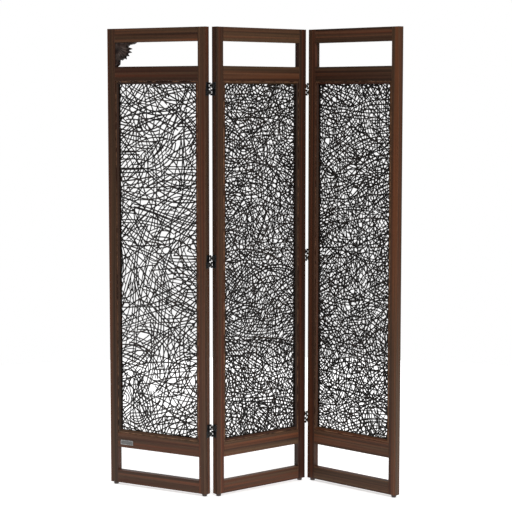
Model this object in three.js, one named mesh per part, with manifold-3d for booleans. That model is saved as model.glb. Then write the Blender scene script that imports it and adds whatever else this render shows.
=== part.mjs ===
// A three-panel folding screen: wooden frames around a woven cane field, with an open slot above
// and below it, joined by black double-action hinges with crossing links.
// Millimetres, +Z up. The feet stand on z = 0, and the origin is under the middle of the screen.

import * as THREE from 'three';
import { mergeVertices } from 'three/addons/utils/BufferGeometryUtils.js';
import Module from 'manifold-3d';

const wasm = await Module();
wasm.setup();

// ---------- driving dimensions ----------

// Frame of one panel
const PANEL_WIDTH = 444;
const FRAME_HEIGHT = 1774;
const FRAME_THICKNESS = 26;
const STILE_WIDTH = 34.5;
const TOP_RAIL_HEIGHT = 53;
const SECOND_RAIL_HEIGHT = 55;
const LOWER_RAIL_HEIGHT = 57;
const BOTTOM_RAIL_HEIGHT = 50;
const SLOT_HEIGHT = 92;
const EDGE_CHAMFER = 1;

// Joinery
const FIT_GAP = 0.3;
const TENON_THICKNESS = 9;
const TENON_SHOULDER = 9;
const TENON_END_WALL = 2.4;

// Woven field and the beads that hold it
const BEAD_WIDTH = 12;
const BEAD_RECESS = 1.5;
const BEAD_CHAMFER = 1.6;
const WEAVE_THICKNESS = 9;

// Glide feet
const FOOT_HEIGHT = 10;
const FOOT_RADIUS = 8.5;
const FOOT_FLAT_RADIUS = 5;
const FOOT_RIM = 2;
const SHANK_RADIUS = 1.6;
const SHANK_LENGTH = 16;
const SHANK_CLEARANCE = 0.25;

// Hinges: each has two screwed leaves and two links that cross between four pins
const HINGE_HEIGHT = 50;
const HINGE_TOP_INSET = 6;
const HINGE_BOTTOM_INSET = 21;
const LEAF_WIDTH = 20;
const LEAF_THICKNESS = 1.4;
const LEAF_SCREW_RADIUS = 2.2;
const LEAF_SCREW_PITCH = 16;
const LEAF_SCREW_STAGGER = 4.5;
const PIN_SPACING = FRAME_THICKNESS;
const LINK_LENGTH = PIN_SPACING + 1.7;
const PIN_OFFSET = 4.6;
const PIN_RADIUS = 1.2;
const PIN_CLEARANCE = 0.14;
const KNUCKLE_RADIUS = 2.6;
const BARREL_INSET = 1;
const LINK_HEIGHT = 8;
const LINK_THICKNESS = 1.8;
const KNUCKLE_GAP = 0.3;

// Carved corner in the left panel's upper slot, and the blank plate on its lower rail
const FRET_WIDTH = 97;
const FRET_BOTTOM_GAP = 1.7;
const FRET_THICKNESS = 12;
const PLATE_WIDTH = 58;
const PLATE_HEIGHT = 18;
const PLATE_THICKNESS = 1;
const PLATE_SIDE_INSET = 14;
const PLATE_BOTTOM_INSET = 12;

// How far the screen stands open
const MIDDLE_YAW = THREE.MathUtils.degToRad(39);
const LEFT_FOLD = THREE.MathUtils.degToRad(69);
const RIGHT_FOLD = THREE.MathUtils.degToRad(82);

// ---------- derived dimensions ----------

// A tenon stops short of the foot's nail hole, which runs up the middle of the stile.
const TENON_LENGTH = STILE_WIDTH / 2 - SHANK_RADIUS - SHANK_CLEARANCE - TENON_END_WALL;
const WINDOW_WIDTH = PANEL_WIDTH - 2 * STILE_WIDTH;
const WINDOW_BOTTOM = BOTTOM_RAIL_HEIGHT + SLOT_HEIGHT + LOWER_RAIL_HEIGHT;
const WINDOW_TOP = FRAME_HEIGHT - TOP_RAIL_HEIGHT - SLOT_HEIGHT - SECOND_RAIL_HEIGHT;
const WINDOW_HEIGHT = WINDOW_TOP - WINDOW_BOTTOM;
const WINDOW_MIDDLE = (WINDOW_BOTTOM + WINDOW_TOP) / 2;
const MID_DEPTH = FRAME_THICKNESS / 2;
const BEAD_DEPTH = MID_DEPTH - WEAVE_THICKNESS / 2 - FIT_GAP - BEAD_RECESS;
const FRET_HEIGHT = SLOT_HEIGHT - FIT_GAP - FRET_BOTTOM_GAP;

const RAILS = [
  { name: 'bottom_rail', bottom: 0, height: BOTTOM_RAIL_HEIGHT },
  { name: 'lower_rail', bottom: BOTTOM_RAIL_HEIGHT + SLOT_HEIGHT, height: LOWER_RAIL_HEIGHT },
  { name: 'second_rail', bottom: WINDOW_TOP, height: SECOND_RAIL_HEIGHT },
  { name: 'top_rail', bottom: FRAME_HEIGHT - TOP_RAIL_HEIGHT, height: TOP_RAIL_HEIGHT },
];

const TOP_HINGE_Z = WINDOW_TOP - HINGE_TOP_INSET - HINGE_HEIGHT / 2;
const BOTTOM_HINGE_Z = WINDOW_BOTTOM + HINGE_BOTTOM_INSET + HINGE_HEIGHT / 2;
const HINGE_LEVELS = [
  { name: 'top', z: TOP_HINGE_Z },
  { name: 'middle', z: (TOP_HINGE_Z + BOTTOM_HINGE_Z) / 2 },
  { name: 'bottom', z: BOTTOM_HINGE_Z },
];
const BARREL_LENGTH = HINGE_HEIGHT / 2 - 2 * BARREL_INSET;
const BARREL_MIDDLE = HINGE_HEIGHT / 4;
const KNUCKLE_LENGTH = (BARREL_LENGTH - LINK_HEIGHT) / 2 - KNUCKLE_GAP;
const KNUCKLE_CENTRE = LINK_HEIGHT / 2 + KNUCKLE_GAP + KNUCKLE_LENGTH / 2;

// ---------- materials ----------

const material = (color, roughness, metalness) =>
  new THREE.MeshStandardMaterial({ color, roughness, metalness });

const STAINED_WOOD = material(0x4b3527, 0.5, 0);
const BEAD_WOOD = material(0x3f2b20, 0.5, 0);
const WOVEN_CANE = material(0x1d1613, 0.7, 0);
const CARVED_WOOD = material(0x3b2a22, 0.6, 0);
const FOOT_PLASTIC = material(0x2a1c15, 0.4, 0);
const BLACK_METAL = material(0x17171a, 0.4, 1);
const SILVER_METAL = material(0xb4b4b2, 0.35, 1);

// ---------- solid helpers ----------

function toSolid(geometry) {
  const bare = geometry.clone();
  bare.deleteAttribute('normal');
  bare.deleteAttribute('uv');
  const merged = mergeVertices(bare, 1e-4);
  const vertProperties = new Float32Array(merged.attributes.position.array);
  const triVerts = new Uint32Array(merged.index.array);
  return new wasm.Manifold(new wasm.Mesh({ numProp: 3, vertProperties, triVerts }));
}

function toGeometry(solid) {
  const mesh = solid.getMesh();
  const geometry = new THREE.BufferGeometry();
  geometry.setAttribute('position', new THREE.BufferAttribute(mesh.vertProperties, 3));
  geometry.setIndex(new THREE.BufferAttribute(mesh.triVerts, 1));
  geometry.computeVertexNormals();
  return geometry;
}

// Joins the first list of geometries and cuts the second list out of them.
function combine(joined, cut = []) {
  const [first, ...others] = joined.map(toSolid);
  const whole = others.reduce((sum, solid) => sum.add(solid), first);
  const rest = cut.map(toSolid).reduce((left, solid) => left.subtract(solid), whole);
  return toGeometry(rest);
}

// A box between two corners.
function boxBetween([x0, y0, z0], [x1, y1, z1]) {
  const box = new THREE.BoxGeometry(x1 - x0, y1 - y0, z1 - z0);
  return box.translate((x0 + x1) / 2, (y0 + y1) / 2, (z0 + z1) / 2);
}

// An upright cylinder centred on a point.
function upright(radius, length, sides, x = 0, y = 0, z = 0) {
  return new THREE.CylinderGeometry(radius, radius, length, sides).rotateX(Math.PI / 2).translate(x, y, z);
}

// An upright bar with its long edges broken, centred on the origin in plan, standing on z = 0.
function chamferedBar(width, depth, length) {
  const x = width / 2;
  const y = depth / 2;
  const c = EDGE_CHAMFER;
  const section = new THREE.Shape([
    new THREE.Vector2(-x + c, -y), new THREE.Vector2(x - c, -y),
    new THREE.Vector2(x, -y + c), new THREE.Vector2(x, y - c),
    new THREE.Vector2(x - c, y), new THREE.Vector2(-x + c, y),
    new THREE.Vector2(-x, y - c), new THREE.Vector2(-x, -y + c),
  ]);
  return new THREE.ExtrudeGeometry(section, { depth: length, bevelEnabled: false });
}

function rectanglePath(target, width, height) {
  target.moveTo(-width / 2, -height / 2);
  target.lineTo(width / 2, -height / 2);
  target.lineTo(width / 2, height / 2);
  target.lineTo(-width / 2, height / 2);
  target.closePath();
  return target;
}

// ---------- wooden frame ----------
// Panel frame: x runs along the width from its left end, y from the front face to the back, and z up.

// A rail's two tenons, grown by a clearance, as one box that runs on through the rail between them.
function tenonBox(rail, clearance) {
  const halfThickness = TENON_THICKNESS / 2 + clearance;
  const reach = STILE_WIDTH - TENON_LENGTH - clearance;
  return boxBetween(
    [reach, MID_DEPTH - halfThickness, rail.bottom + TENON_SHOULDER - clearance],
    [PANEL_WIDTH - reach, MID_DEPTH + halfThickness, rail.bottom + rail.height - TENON_SHOULDER + clearance],
  );
}

function railGeometry(rail) {
  const length = WINDOW_WIDTH - 2 * FIT_GAP;
  const bar = chamferedBar(rail.height, FRAME_THICKNESS, length);
  bar.rotateY(Math.PI / 2);
  bar.translate(STILE_WIDTH + FIT_GAP, MID_DEPTH, rail.bottom + rail.height / 2);
  return combine([bar, tenonBox(rail, 0)]);
}

function stileGeometry(centreX) {
  const bar = chamferedBar(STILE_WIDTH, FRAME_THICKNESS, FRAME_HEIGHT).translate(centreX, MID_DEPTH, 0);
  const mortises = RAILS.map((rail) => tenonBox(rail, FIT_GAP));
  const holeLength = 2 * (SHANK_LENGTH + FIT_GAP);
  const shankHole = upright(SHANK_RADIUS + SHANK_CLEARANCE, holeLength, 10, centreX, MID_DEPTH);
  return combine([bar], [...mortises, shankHole]);
}

// A picture-frame ring of moulding with its long edges broken, at one face of the panel.
function beadGeometry(frontY) {
  const outerWidth = WINDOW_WIDTH - 2 * FIT_GAP;
  const outerHeight = WINDOW_HEIGHT - 2 * FIT_GAP;
  const ring = rectanglePath(new THREE.Shape(), outerWidth, outerHeight);
  ring.holes.push(rectanglePath(new THREE.Path(), outerWidth - 2 * BEAD_WIDTH, outerHeight - 2 * BEAD_WIDTH));
  const bead = new THREE.ExtrudeGeometry(ring, {
    depth: BEAD_DEPTH - 2 * BEAD_CHAMFER,
    bevelEnabled: true,
    bevelSegments: 1,
    bevelThickness: BEAD_CHAMFER,
    bevelSize: BEAD_CHAMFER,
    bevelOffset: -BEAD_CHAMFER,
  });
  bead.rotateX(Math.PI / 2);
  return bead.translate(PANEL_WIDTH / 2, frontY + BEAD_DEPTH - BEAD_CHAMFER, WINDOW_MIDDLE);
}

function weaveGeometry() {
  return new THREE.BoxGeometry(WINDOW_WIDTH - 2 * FIT_GAP, WEAVE_THICKNESS, WINDOW_HEIGHT - 2 * FIT_GAP)
    .translate(PANEL_WIDTH / 2, MID_DEPTH, WINDOW_MIDDLE);
}

// A domed glide with a flat under it and a nail shank that goes up into the stile.
function footGeometry() {
  const top = -FIT_GAP;
  const rimBottom = top - FOOT_RIM;
  const profile = new THREE.Path();
  profile.moveTo(0, -FOOT_HEIGHT);
  profile.lineTo(FOOT_FLAT_RADIUS, -FOOT_HEIGHT);
  profile.quadraticCurveTo(FOOT_RADIUS, -FOOT_HEIGHT, FOOT_RADIUS, rimBottom);
  profile.lineTo(FOOT_RADIUS, top);
  profile.lineTo(SHANK_RADIUS, top);
  profile.lineTo(SHANK_RADIUS, SHANK_LENGTH);
  profile.lineTo(0, SHANK_LENGTH);
  return new THREE.LatheGeometry(profile.getPoints(4), 12).rotateX(Math.PI / 2);
}

// ---------- hinges ----------
// Leaf frame: the plate lies on x = 0 and its pins stand at x = PIN_OFFSET, the upper one at +y and
// the lower one at -y. Turned half a turn about z, the same leaf serves the other side of the joint.

function knucklePair(side, bored) {
  const y = (side * PIN_SPACING) / 2;
  const inner = Math.abs(y) - (PIN_SPACING - LEAF_WIDTH) / 2 - LEAF_THICKNESS;
  const outer = Math.abs(y) + KNUCKLE_RADIUS / 2;
  const levels = [-KNUCKLE_CENTRE, KNUCKLE_CENTRE].map((offset) => side * BARREL_MIDDLE + offset);
  const barrels = levels.map((z) => upright(KNUCKLE_RADIUS, KNUCKLE_LENGTH, 12, PIN_OFFSET, y, z));
  const webs = levels.map((z) => boxBetween(
    [FIT_GAP, Math.min(side * inner, side * outer), z - KNUCKLE_LENGTH / 2],
    [PIN_OFFSET, Math.max(side * inner, side * outer), z + KNUCKLE_LENGTH / 2],
  ));
  const bore = upright(PIN_RADIUS + PIN_CLEARANCE, BARREL_LENGTH + 1, 10, PIN_OFFSET, y, side * BARREL_MIDDLE);
  return { solids: [...barrels, ...webs], bores: bored ? [bore] : [] };
}

function leafGeometry(lowerBored) {
  const plate = boxBetween(
    [FIT_GAP, -LEAF_WIDTH / 2, -HINGE_HEIGHT / 2],
    [FIT_GAP + LEAF_THICKNESS, LEAF_WIDTH / 2, HINGE_HEIGHT / 2],
  );
  const upper = knucklePair(1, true);
  const lower = knucklePair(-1, lowerBored);
  const screwHoles = [-1, 0, 1].map((step) => {
    const hole = new THREE.CylinderGeometry(LEAF_SCREW_RADIUS, LEAF_SCREW_RADIUS, 4 * LEAF_THICKNESS, 8);
    const y = step === 0 ? LEAF_SCREW_STAGGER : -LEAF_SCREW_STAGGER;
    return hole.rotateZ(Math.PI / 2).translate(0, y, step * LEAF_SCREW_PITCH);
  });
  return combine([plate, ...upper.solids, ...lower.solids], [...upper.bores, ...lower.bores, ...screwHoles]);
}

// A link with an eye at each end: its first pin stands at the origin and its second at x = LINK_LENGTH.
function linkGeometry(secondPin) {
  const half = LINK_HEIGHT / 2;
  const strap = boxBetween([0, -LINK_THICKNESS / 2, -half], [LINK_LENGTH, LINK_THICKNESS / 2, half]);
  const eyes = [0, LINK_LENGTH].map((x) => upright(KNUCKLE_RADIUS, LINK_HEIGHT, 12, x));
  const pinPlaces = secondPin ? [0, LINK_LENGTH] : [0];
  const pins = pinPlaces.map((x) => upright(PIN_RADIUS, BARREL_LENGTH, 10, x));
  return combine([strap, ...eyes, ...pins]);
}

// ---------- carved corner and plate ----------

// A carved leaf in the slot's corner. Its points are shares of its width to the right and of its height
// down, from the corner. The edge runs up from the tail on the stile, round the pointed lobes, each with
// the hollow above it, and out along the neck to the tip on the rail.
const FRET_TAIL = { foot: [0.05, 1], bend: [0.18, 0.90], end: [0.19, 0.74] };
const FRET_LOBES = [
  { point: [0.30, 0.77], hollow: [0.36, 0.70] },
  { point: [0.50, 0.72], hollow: [0.51, 0.57] },
  { point: [0.64, 0.58], hollow: [0.58, 0.42] },
  { point: [0.74, 0.44], hollow: [0.66, 0.31] },
  { point: [0.79, 0.27], hollow: [0.60, 0.17] },
];
const FRET_NECK = { bend: [0.75, 0.08], end: [0.93, 0.06] };

function fretGeometry() {
  const outline = new THREE.Shape();
  const at = ([x, y]) => [x * FRET_WIDTH, -y * FRET_HEIGHT];
  outline.moveTo(...at([0, 0]));
  outline.lineTo(...at([0, 1]));
  outline.lineTo(...at(FRET_TAIL.foot));
  outline.quadraticCurveTo(...at(FRET_TAIL.bend), ...at(FRET_TAIL.end));
  for (const { point, hollow } of FRET_LOBES) {
    outline.lineTo(...at(point));
    outline.lineTo(...at(hollow));
  }
  outline.quadraticCurveTo(...at(FRET_NECK.bend), ...at(FRET_NECK.end));
  outline.lineTo(...at([1, 0]));
  outline.closePath();
  const fret = new THREE.ExtrudeGeometry(outline, { depth: FRET_THICKNESS, bevelEnabled: false, curveSegments: 4 });
  fret.rotateX(Math.PI / 2);
  const top = FRAME_HEIGHT - TOP_RAIL_HEIGHT - FIT_GAP;
  return fret.translate(STILE_WIDTH + FIT_GAP, MID_DEPTH + FRET_THICKNESS / 2, top);
}

function labelPlateGeometry() {
  const left = STILE_WIDTH + PLATE_SIDE_INSET;
  const bottom = BOTTOM_RAIL_HEIGHT + SLOT_HEIGHT + PLATE_BOTTOM_INSET;
  return boxBetween(
    [left, -FIT_GAP - PLATE_THICKNESS, bottom],
    [left + PLATE_WIDTH, -FIT_GAP, bottom + PLATE_HEIGHT],
  );
}

// ---------- assembly ----------

function addMesh(group, name, geometry, surface, place = [0, 0, 0], yaw = 0) {
  const mesh = new THREE.Mesh(geometry, surface);
  mesh.name = name;
  mesh.position.set(...place);
  mesh.rotation.z = yaw;
  group.add(mesh);
}

function makePanel(prefix) {
  const panel = new THREE.Group();
  const stiles = { left: STILE_WIDTH / 2, right: PANEL_WIDTH - STILE_WIDTH / 2 };
  for (const [side, centreX] of Object.entries(stiles)) {
    addMesh(panel, `${prefix}_${side}_stile`, stileGeometry(centreX), STAINED_WOOD);
    addMesh(panel, `${prefix}_${side}_foot`, footGeometry(), FOOT_PLASTIC, [centreX, MID_DEPTH, 0]);
  }
  for (const rail of RAILS) {
    addMesh(panel, `${prefix}_${rail.name}`, railGeometry(rail), STAINED_WOOD);
  }
  addMesh(panel, `${prefix}_weave`, weaveGeometry(), WOVEN_CANE);
  addMesh(panel, `${prefix}_front_bead`, beadGeometry(BEAD_RECESS), BEAD_WOOD);
  addMesh(panel, `${prefix}_back_bead`, beadGeometry(FRAME_THICKNESS - BEAD_RECESS - BEAD_DEPTH), BEAD_WOOD);
  return panel;
}

function placePanel(panel, origin, yaw) {
  panel.position.set(origin.x, origin.y, FOOT_HEIGHT);
  panel.rotation.z = yaw;
}

const along = (yaw) => new THREE.Vector2(Math.cos(yaw), Math.sin(yaw));
const across = (yaw) => new THREE.Vector2(-Math.sin(yaw), Math.cos(yaw));

// The pins of one panel at its left or right end, in plan.
function endPins(origin, yaw, end) {
  const reach = end === 'left' ? -PIN_OFFSET : PANEL_WIDTH + PIN_OFFSET;
  const base = origin.clone().addScaledVector(along(yaw), reach);
  const pin = (depth) => base.clone().addScaledVector(across(yaw), depth);
  return { front: pin(MID_DEPTH - PIN_SPACING / 2), back: pin(MID_DEPTH + PIN_SPACING / 2) };
}

// Distance between the two pins on the closing side of a joint that is folded by an angle: the links
// are the diagonals of a symmetric trapezium whose slanted sides are the leaves.
function nearPinGap(fold) {
  const spread = PIN_SPACING * Math.sin(fold / 2);
  return Math.sqrt(spread ** 2 + LINK_LENGTH ** 2 - PIN_SPACING ** 2) - spread;
}

// The left panel folds back from the middle panel's left end, and the right panel forward from its right.
const middleOrigin = new THREE.Vector2(0, 0);
const leftYaw = MIDDLE_YAW - LEFT_FOLD;
const rightYaw = MIDDLE_YAW - RIGHT_FOLD;
const leftJoint = endPins(middleOrigin, MIDDLE_YAW, 'left');
const rightJoint = endPins(middleOrigin, MIDDLE_YAW, 'right');
const leftOrigin = leftJoint.back.clone()
  .addScaledVector(along(MIDDLE_YAW - LEFT_FOLD / 2), -nearPinGap(LEFT_FOLD))
  .addScaledVector(across(leftYaw), -(MID_DEPTH + PIN_SPACING / 2))
  .addScaledVector(along(leftYaw), -(PANEL_WIDTH + PIN_OFFSET));
const rightOrigin = rightJoint.front.clone()
  .addScaledVector(along(MIDDLE_YAW - RIGHT_FOLD / 2), nearPinGap(RIGHT_FOLD))
  .addScaledVector(across(rightYaw), -(MID_DEPTH - PIN_SPACING / 2))
  .addScaledVector(along(rightYaw), PIN_OFFSET);

const screen = new THREE.Group();
const leftPanel = makePanel('left_panel');
const middlePanel = makePanel('middle_panel');
const rightPanel = makePanel('right_panel');
placePanel(leftPanel, leftOrigin, leftYaw);
placePanel(middlePanel, middleOrigin, MIDDLE_YAW);
placePanel(rightPanel, rightOrigin, rightYaw);
addMesh(leftPanel, 'left_panel_carved_corner', fretGeometry(), CARVED_WOOD);
addMesh(leftPanel, 'left_panel_blank_plate', labelPlateGeometry(), SILVER_METAL);
screen.add(leftPanel, middlePanel, rightPanel);

function addLink(name, from, to, z, secondPin) {
  const heading = to.clone().sub(from).angle();
  addMesh(screen, name, linkGeometry(secondPin), BLACK_METAL, [from.x, from.y, FOOT_HEIGHT + z], heading);
}

// One hinge at one level. The leaf on a panel's right end holds the upper link at the back, and the
// leaf on a panel's left end holds it at the front. Links are pinned to the middle panel first. The
// lower link's far eye turns between closed knuckles on the outer panel's leaf.
function addHinge(column, level) {
  const name = `${column.name}_hinge_${level.name}`;
  const onRightEnd = [PANEL_WIDTH, MID_DEPTH, level.z];
  const onLeftEnd = [0, MID_DEPTH, level.z];
  const { leftLeafPanel, rightLeafPanel } = column;
  const leftBored = leftLeafPanel === middlePanel;
  addMesh(leftLeafPanel, `${name}_leaf_left`, leafGeometry(leftBored), BLACK_METAL, onRightEnd);
  addMesh(rightLeafPanel, `${name}_leaf_right`, leafGeometry(!leftBored), BLACK_METAL, onLeftEnd, Math.PI);
  addLink(`${name}_upper_link`, ...column.upper, level.z + BARREL_MIDDLE, true);
  addLink(`${name}_lower_link`, ...column.lower, level.z - BARREL_MIDDLE, false);
}

const leftPanelPins = endPins(leftOrigin, leftYaw, 'right');
const rightPanelPins = endPins(rightOrigin, rightYaw, 'left');
const COLUMNS = [
  {
    name: 'left',
    leftLeafPanel: leftPanel,
    rightLeafPanel: middlePanel,
    upper: [leftJoint.front, leftPanelPins.back],
    lower: [leftJoint.back, leftPanelPins.front],
  },
  {
    name: 'right',
    leftLeafPanel: middlePanel,
    rightLeafPanel: rightPanel,
    upper: [rightJoint.back, rightPanelPins.front],
    lower: [rightJoint.front, rightPanelPins.back],
  },
];
for (const column of COLUMNS) {
  for (const level of HINGE_LEVELS) {
    addHinge(column, level);
  }
}

// The origin is on the floor under the centre of the whole screen's bounding box.
const centre = new THREE.Box3().setFromObject(screen, true).getCenter(new THREE.Vector3());
screen.position.set(-centre.x, -centre.y, 0);

export default screen;
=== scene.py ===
"""Looks of a three-panel folding screen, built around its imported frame.

The screen has three wooden panels, each with a woven cane field between mitred beads and an open slot
above and below it. Black double-action hinges with crossing links join the panels. All sizes are in
metres, and every piece is drawn in its panel's own frame: x along the width from the panel's left end,
y from the front face to the back, and z up from the bottom of the wooden frame.
"""

import logging
import math
from collections.abc import Iterable, Iterator, Sequence
from contextlib import contextmanager
from dataclasses import dataclass
from enum import Enum
from functools import cache

import bmesh
import bpy
import numpy as np
from mathutils import Matrix, Vector

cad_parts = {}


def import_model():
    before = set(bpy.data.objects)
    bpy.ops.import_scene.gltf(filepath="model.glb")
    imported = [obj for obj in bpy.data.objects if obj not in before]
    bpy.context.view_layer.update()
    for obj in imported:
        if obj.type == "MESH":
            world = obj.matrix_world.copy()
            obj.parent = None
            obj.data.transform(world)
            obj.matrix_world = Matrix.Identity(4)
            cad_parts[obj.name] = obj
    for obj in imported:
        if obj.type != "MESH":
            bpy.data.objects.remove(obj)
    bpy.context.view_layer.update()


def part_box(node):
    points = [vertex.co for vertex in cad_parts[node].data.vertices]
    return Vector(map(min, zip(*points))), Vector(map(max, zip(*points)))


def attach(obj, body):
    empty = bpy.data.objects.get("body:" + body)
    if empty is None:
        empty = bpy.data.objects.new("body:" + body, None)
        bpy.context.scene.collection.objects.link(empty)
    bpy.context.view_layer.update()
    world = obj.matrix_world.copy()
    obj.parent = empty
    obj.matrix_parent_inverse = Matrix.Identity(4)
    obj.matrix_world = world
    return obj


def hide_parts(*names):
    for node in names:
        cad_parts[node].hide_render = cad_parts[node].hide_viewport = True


LOG = logging.getLogger("folding_screen")

PLACE = "grain_place"
EDGE = "edge"
TONE = "tone"
GAUGE = "gauge"
RUN = "run"

Mesh = bpy.types.Mesh
Node = bpy.types.Node
NodeTree = bpy.types.NodeTree
Socket = bpy.types.NodeSocket
Triple = tuple[float, float, float]
Colour = Triple


class Slot(Enum):
    """The record's material slots."""

    WOOD = "stained_wood"
    BEAD = "bead_wood"
    CARVING = "carved_wood"
    CANE = "woven_cane"
    HINGE = "black_hinge_metal"
    GLIDE = "glide_plastic"
    PLATE = "silver_plate"


class Face(Enum):
    """The two faces of a panel."""

    FRONT = "front"
    BACK = "back"


class End(Enum):
    """The two upright ends of a panel."""

    LEFT = "left"
    RIGHT = "right"


# ---------- shared sizes ----------


@dataclass(frozen=True)
class FrameSizes:
    """Sizes that every panel shares.

    Attributes:
        stile: Width of a stile.
        thickness: Thickness of the wooden frame.
        gap: Clearance where two pieces meet.
        arris: Rounding along the bars' long edges.
        butt: Rounding at the bars' ends.
    """

    stile: float = 0.0345
    thickness: float = 0.026
    gap: float = 0.0003
    arris: float = 0.0013
    butt: float = 0.0005

    @property
    def middle(self) -> float:
        """Depth of the panel's middle plane."""
        return self.thickness / 2


FRAME = FrameSizes()


@dataclass(frozen=True, eq=False)
class Panel:
    """One panel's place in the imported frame.

    Attributes:
        name: The panel's name, which is also its body and the start of its nodes' names.
        place: Matrix from the panel's own frame to the row frame.
        width: Overall width.
        height: Height of the wooden frame, without the feet.
        window: Lowest and highest z of the opening that holds the cane.
    """

    name: str
    place: Matrix
    width: float
    height: float
    window: tuple[float, float]

    @classmethod
    def read(cls, name: str) -> "Panel":
        """Works out a panel's place from its feet, stiles and rails.

        Args:
            name: The panel's name.

        Returns:
            The panel.
        """
        left, right = (centre_in_plan(f"{name}_{end.value}_foot") for end in End)
        along = (right - left).normalized()
        across = Vector((-along.y, along.x))
        origin = left - along * FRAME.stile / 2 - across * FRAME.middle
        low, high = (corner.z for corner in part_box(f"{name}_left_stile"))
        rotation = Matrix((
            (along.x, across.x, 0, origin.x),
            (along.y, across.y, 0, origin.y),
            (0, 0, 1, low),
            (0, 0, 0, 1),
        ))
        window = (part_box(f"{name}_lower_rail")[1].z - low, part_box(f"{name}_second_rail")[0].z - low)
        return cls(name, rotation, (right - left).length + FRAME.stile, high - low, window)

    @property
    def opening(self) -> float:
        """Width between the stiles."""
        return self.width - 2 * FRAME.stile

    def stile_x(self, end: End) -> float:
        """Left side of one of the two stiles."""
        return 0 if end is End.LEFT else self.width - FRAME.stile

    def window_middle(self, depth: float) -> Matrix:
        """Matrix that moves the origin to the middle of the window, at a given depth."""
        return Matrix.Translation((self.width / 2, depth, sum(self.window) / 2))

    def levels(self, node: str) -> tuple[float, float]:
        """Lowest and highest z of one of the panel's nodes, in the panel's frame."""
        base = self.place.translation.z
        low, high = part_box(f"{self.name}_{node}")
        return low.z - base, high.z - base


def centre_in_plan(node: str) -> Vector:
    """Centre of a node's box, seen from above."""
    low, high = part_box(node)
    return ((low + high) / 2).xy


# ---------- mesh helpers ----------


@contextmanager
def opened(mesh: Mesh) -> Iterator[bmesh.types.BMesh]:
    """Lends a mesh's BMesh, and writes it back to the mesh afterwards."""
    shape = bmesh.new()
    shape.from_mesh(mesh)
    yield shape
    shape.to_mesh(mesh)
    shape.free()


def faced_out(mesh: Mesh) -> Mesh:
    """Turns every shell of a mesh so that its faces point out, and gives the mesh back."""
    with opened(mesh) as shape:
        bmesh.ops.recalc_face_normals(shape, faces=shape.faces)
    return mesh


def mesh_from(points: Sequence, faces: Sequence) -> Mesh:
    """Makes a mesh from points and faces, which are lists of vertex numbers, with its faces pointing out."""
    mesh = bpy.data.meshes.new("piece")
    mesh.from_pydata([tuple(p) for p in points], [], faces)
    return faced_out(mesh)


def joined(meshes: Iterable[Mesh]) -> Mesh:
    """Puts several meshes into one, with their attributes, and removes them.

    Args:
        meshes: The meshes to join.

    Returns:
        The joined mesh.
    """
    parts = list(meshes)
    whole = bpy.data.meshes.new("piece")
    with opened(whole) as shape:
        for part in parts:
            shape.from_mesh(part)
    for part in parts:
        bpy.data.meshes.remove(part)
    return whole


def moved(mesh: Mesh, matrix: Matrix) -> Mesh:
    """Moves a mesh's vertices by a matrix and gives the mesh back."""
    mesh.transform(matrix)
    return mesh


def settled(piece: bpy.types.Object) -> Mesh:
    """Turns an object with its modifiers into a plain mesh, and removes the object.

    Args:
        piece: The object with its modifiers.

    Returns:
        The mesh that the modifiers give.
    """
    bpy.context.view_layer.update()
    graph = bpy.context.evaluated_depsgraph_get()
    result = bpy.data.meshes.new_from_object(
        piece.evaluated_get(graph), preserve_all_data_layers=True, depsgraph=graph
    )
    source = piece.data
    bpy.data.objects.remove(piece)
    bpy.data.meshes.remove(source)
    return result


def loose_object(mesh: Mesh, name: str = "blank") -> bpy.types.Object:
    """Puts a mesh into the scene as an object at the origin."""
    piece = bpy.data.objects.new(name, mesh)
    bpy.context.scene.collection.objects.link(piece)
    return piece


def bevelled(mesh: Mesh, width: float, steps: int) -> Mesh:
    """Rounds a mesh's weighted edges and keeps its flat faces flat in shading.

    Args:
        mesh: The mesh, with its edges' bevel weights set.
        width: Rounding at a weight of one.
        steps: Number of faces across the rounding.

    Returns:
        The rounded mesh.
    """
    mesh.shade_smooth()
    piece = loose_object(mesh)
    bevel = piece.modifiers.new("rounding", "BEVEL")
    bevel.limit_method = "WEIGHT"
    bevel.width = width
    bevel.segments = steps
    bevel.harden_normals = True
    return settled(piece)


def mark_chamfers(mesh: Mesh) -> None:
    """Marks the narrow faces in the middle of a mesh's chamfers and roundings as its edges.

    Args:
        mesh: A mesh with chamfers of one face, or roundings of three.
    """
    keen = math.radians(25)
    share = 0.6
    shape = bmesh.new()
    shape.from_mesh(mesh)
    values = []
    for face in shape.faces:
        sharp = [e.calc_length() for e in face.edges if e.calc_face_angle_signed(0.0) > keen]
        values.append(float(sum(sharp) > share * face.calc_perimeter()))
    shape.free()
    mark(mesh, EDGE, values, "FACE")


def mark(mesh: Mesh, name: str, values: Sequence, domain: str = "POINT") -> None:
    """Stores one number or one vector for each vertex, edge or face.

    Args:
        mesh: The mesh to mark.
        name: The attribute's name.
        values: Numbers, or triples of numbers.
        domain: What the values belong to.
    """
    table = np.asarray(values, dtype=np.float32)
    kind, key = ("FLOAT", "value") if table.ndim == 1 else ("FLOAT_VECTOR", "vector")
    mesh.attributes.new(name, kind, domain).data.foreach_set(key, table.ravel())


def points_of(mesh: Mesh) -> np.ndarray:
    """The mesh's vertices as an array of triples."""
    table = np.empty(len(mesh.vertices) * 3, dtype=np.float32)
    mesh.vertices.foreach_get("co", table)
    return table.reshape(-1, 3)


def polar(centre: Sequence[float], radius: float, angles: Iterable[float]) -> list[Vector]:
    """Points at one distance from a centre, one for each angle in radians."""
    return [Vector((centre[0] + radius * math.cos(a), centre[1] + radius * math.sin(a))) for a in angles]


def circle(radius: float, steps: int, centre: Sequence[float] = (0, 0)) -> list[Vector]:
    """Points round a circle, anticlockwise from the x axis."""
    return polar(centre, radius, (2 * math.pi * i / steps for i in range(steps)))


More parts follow.
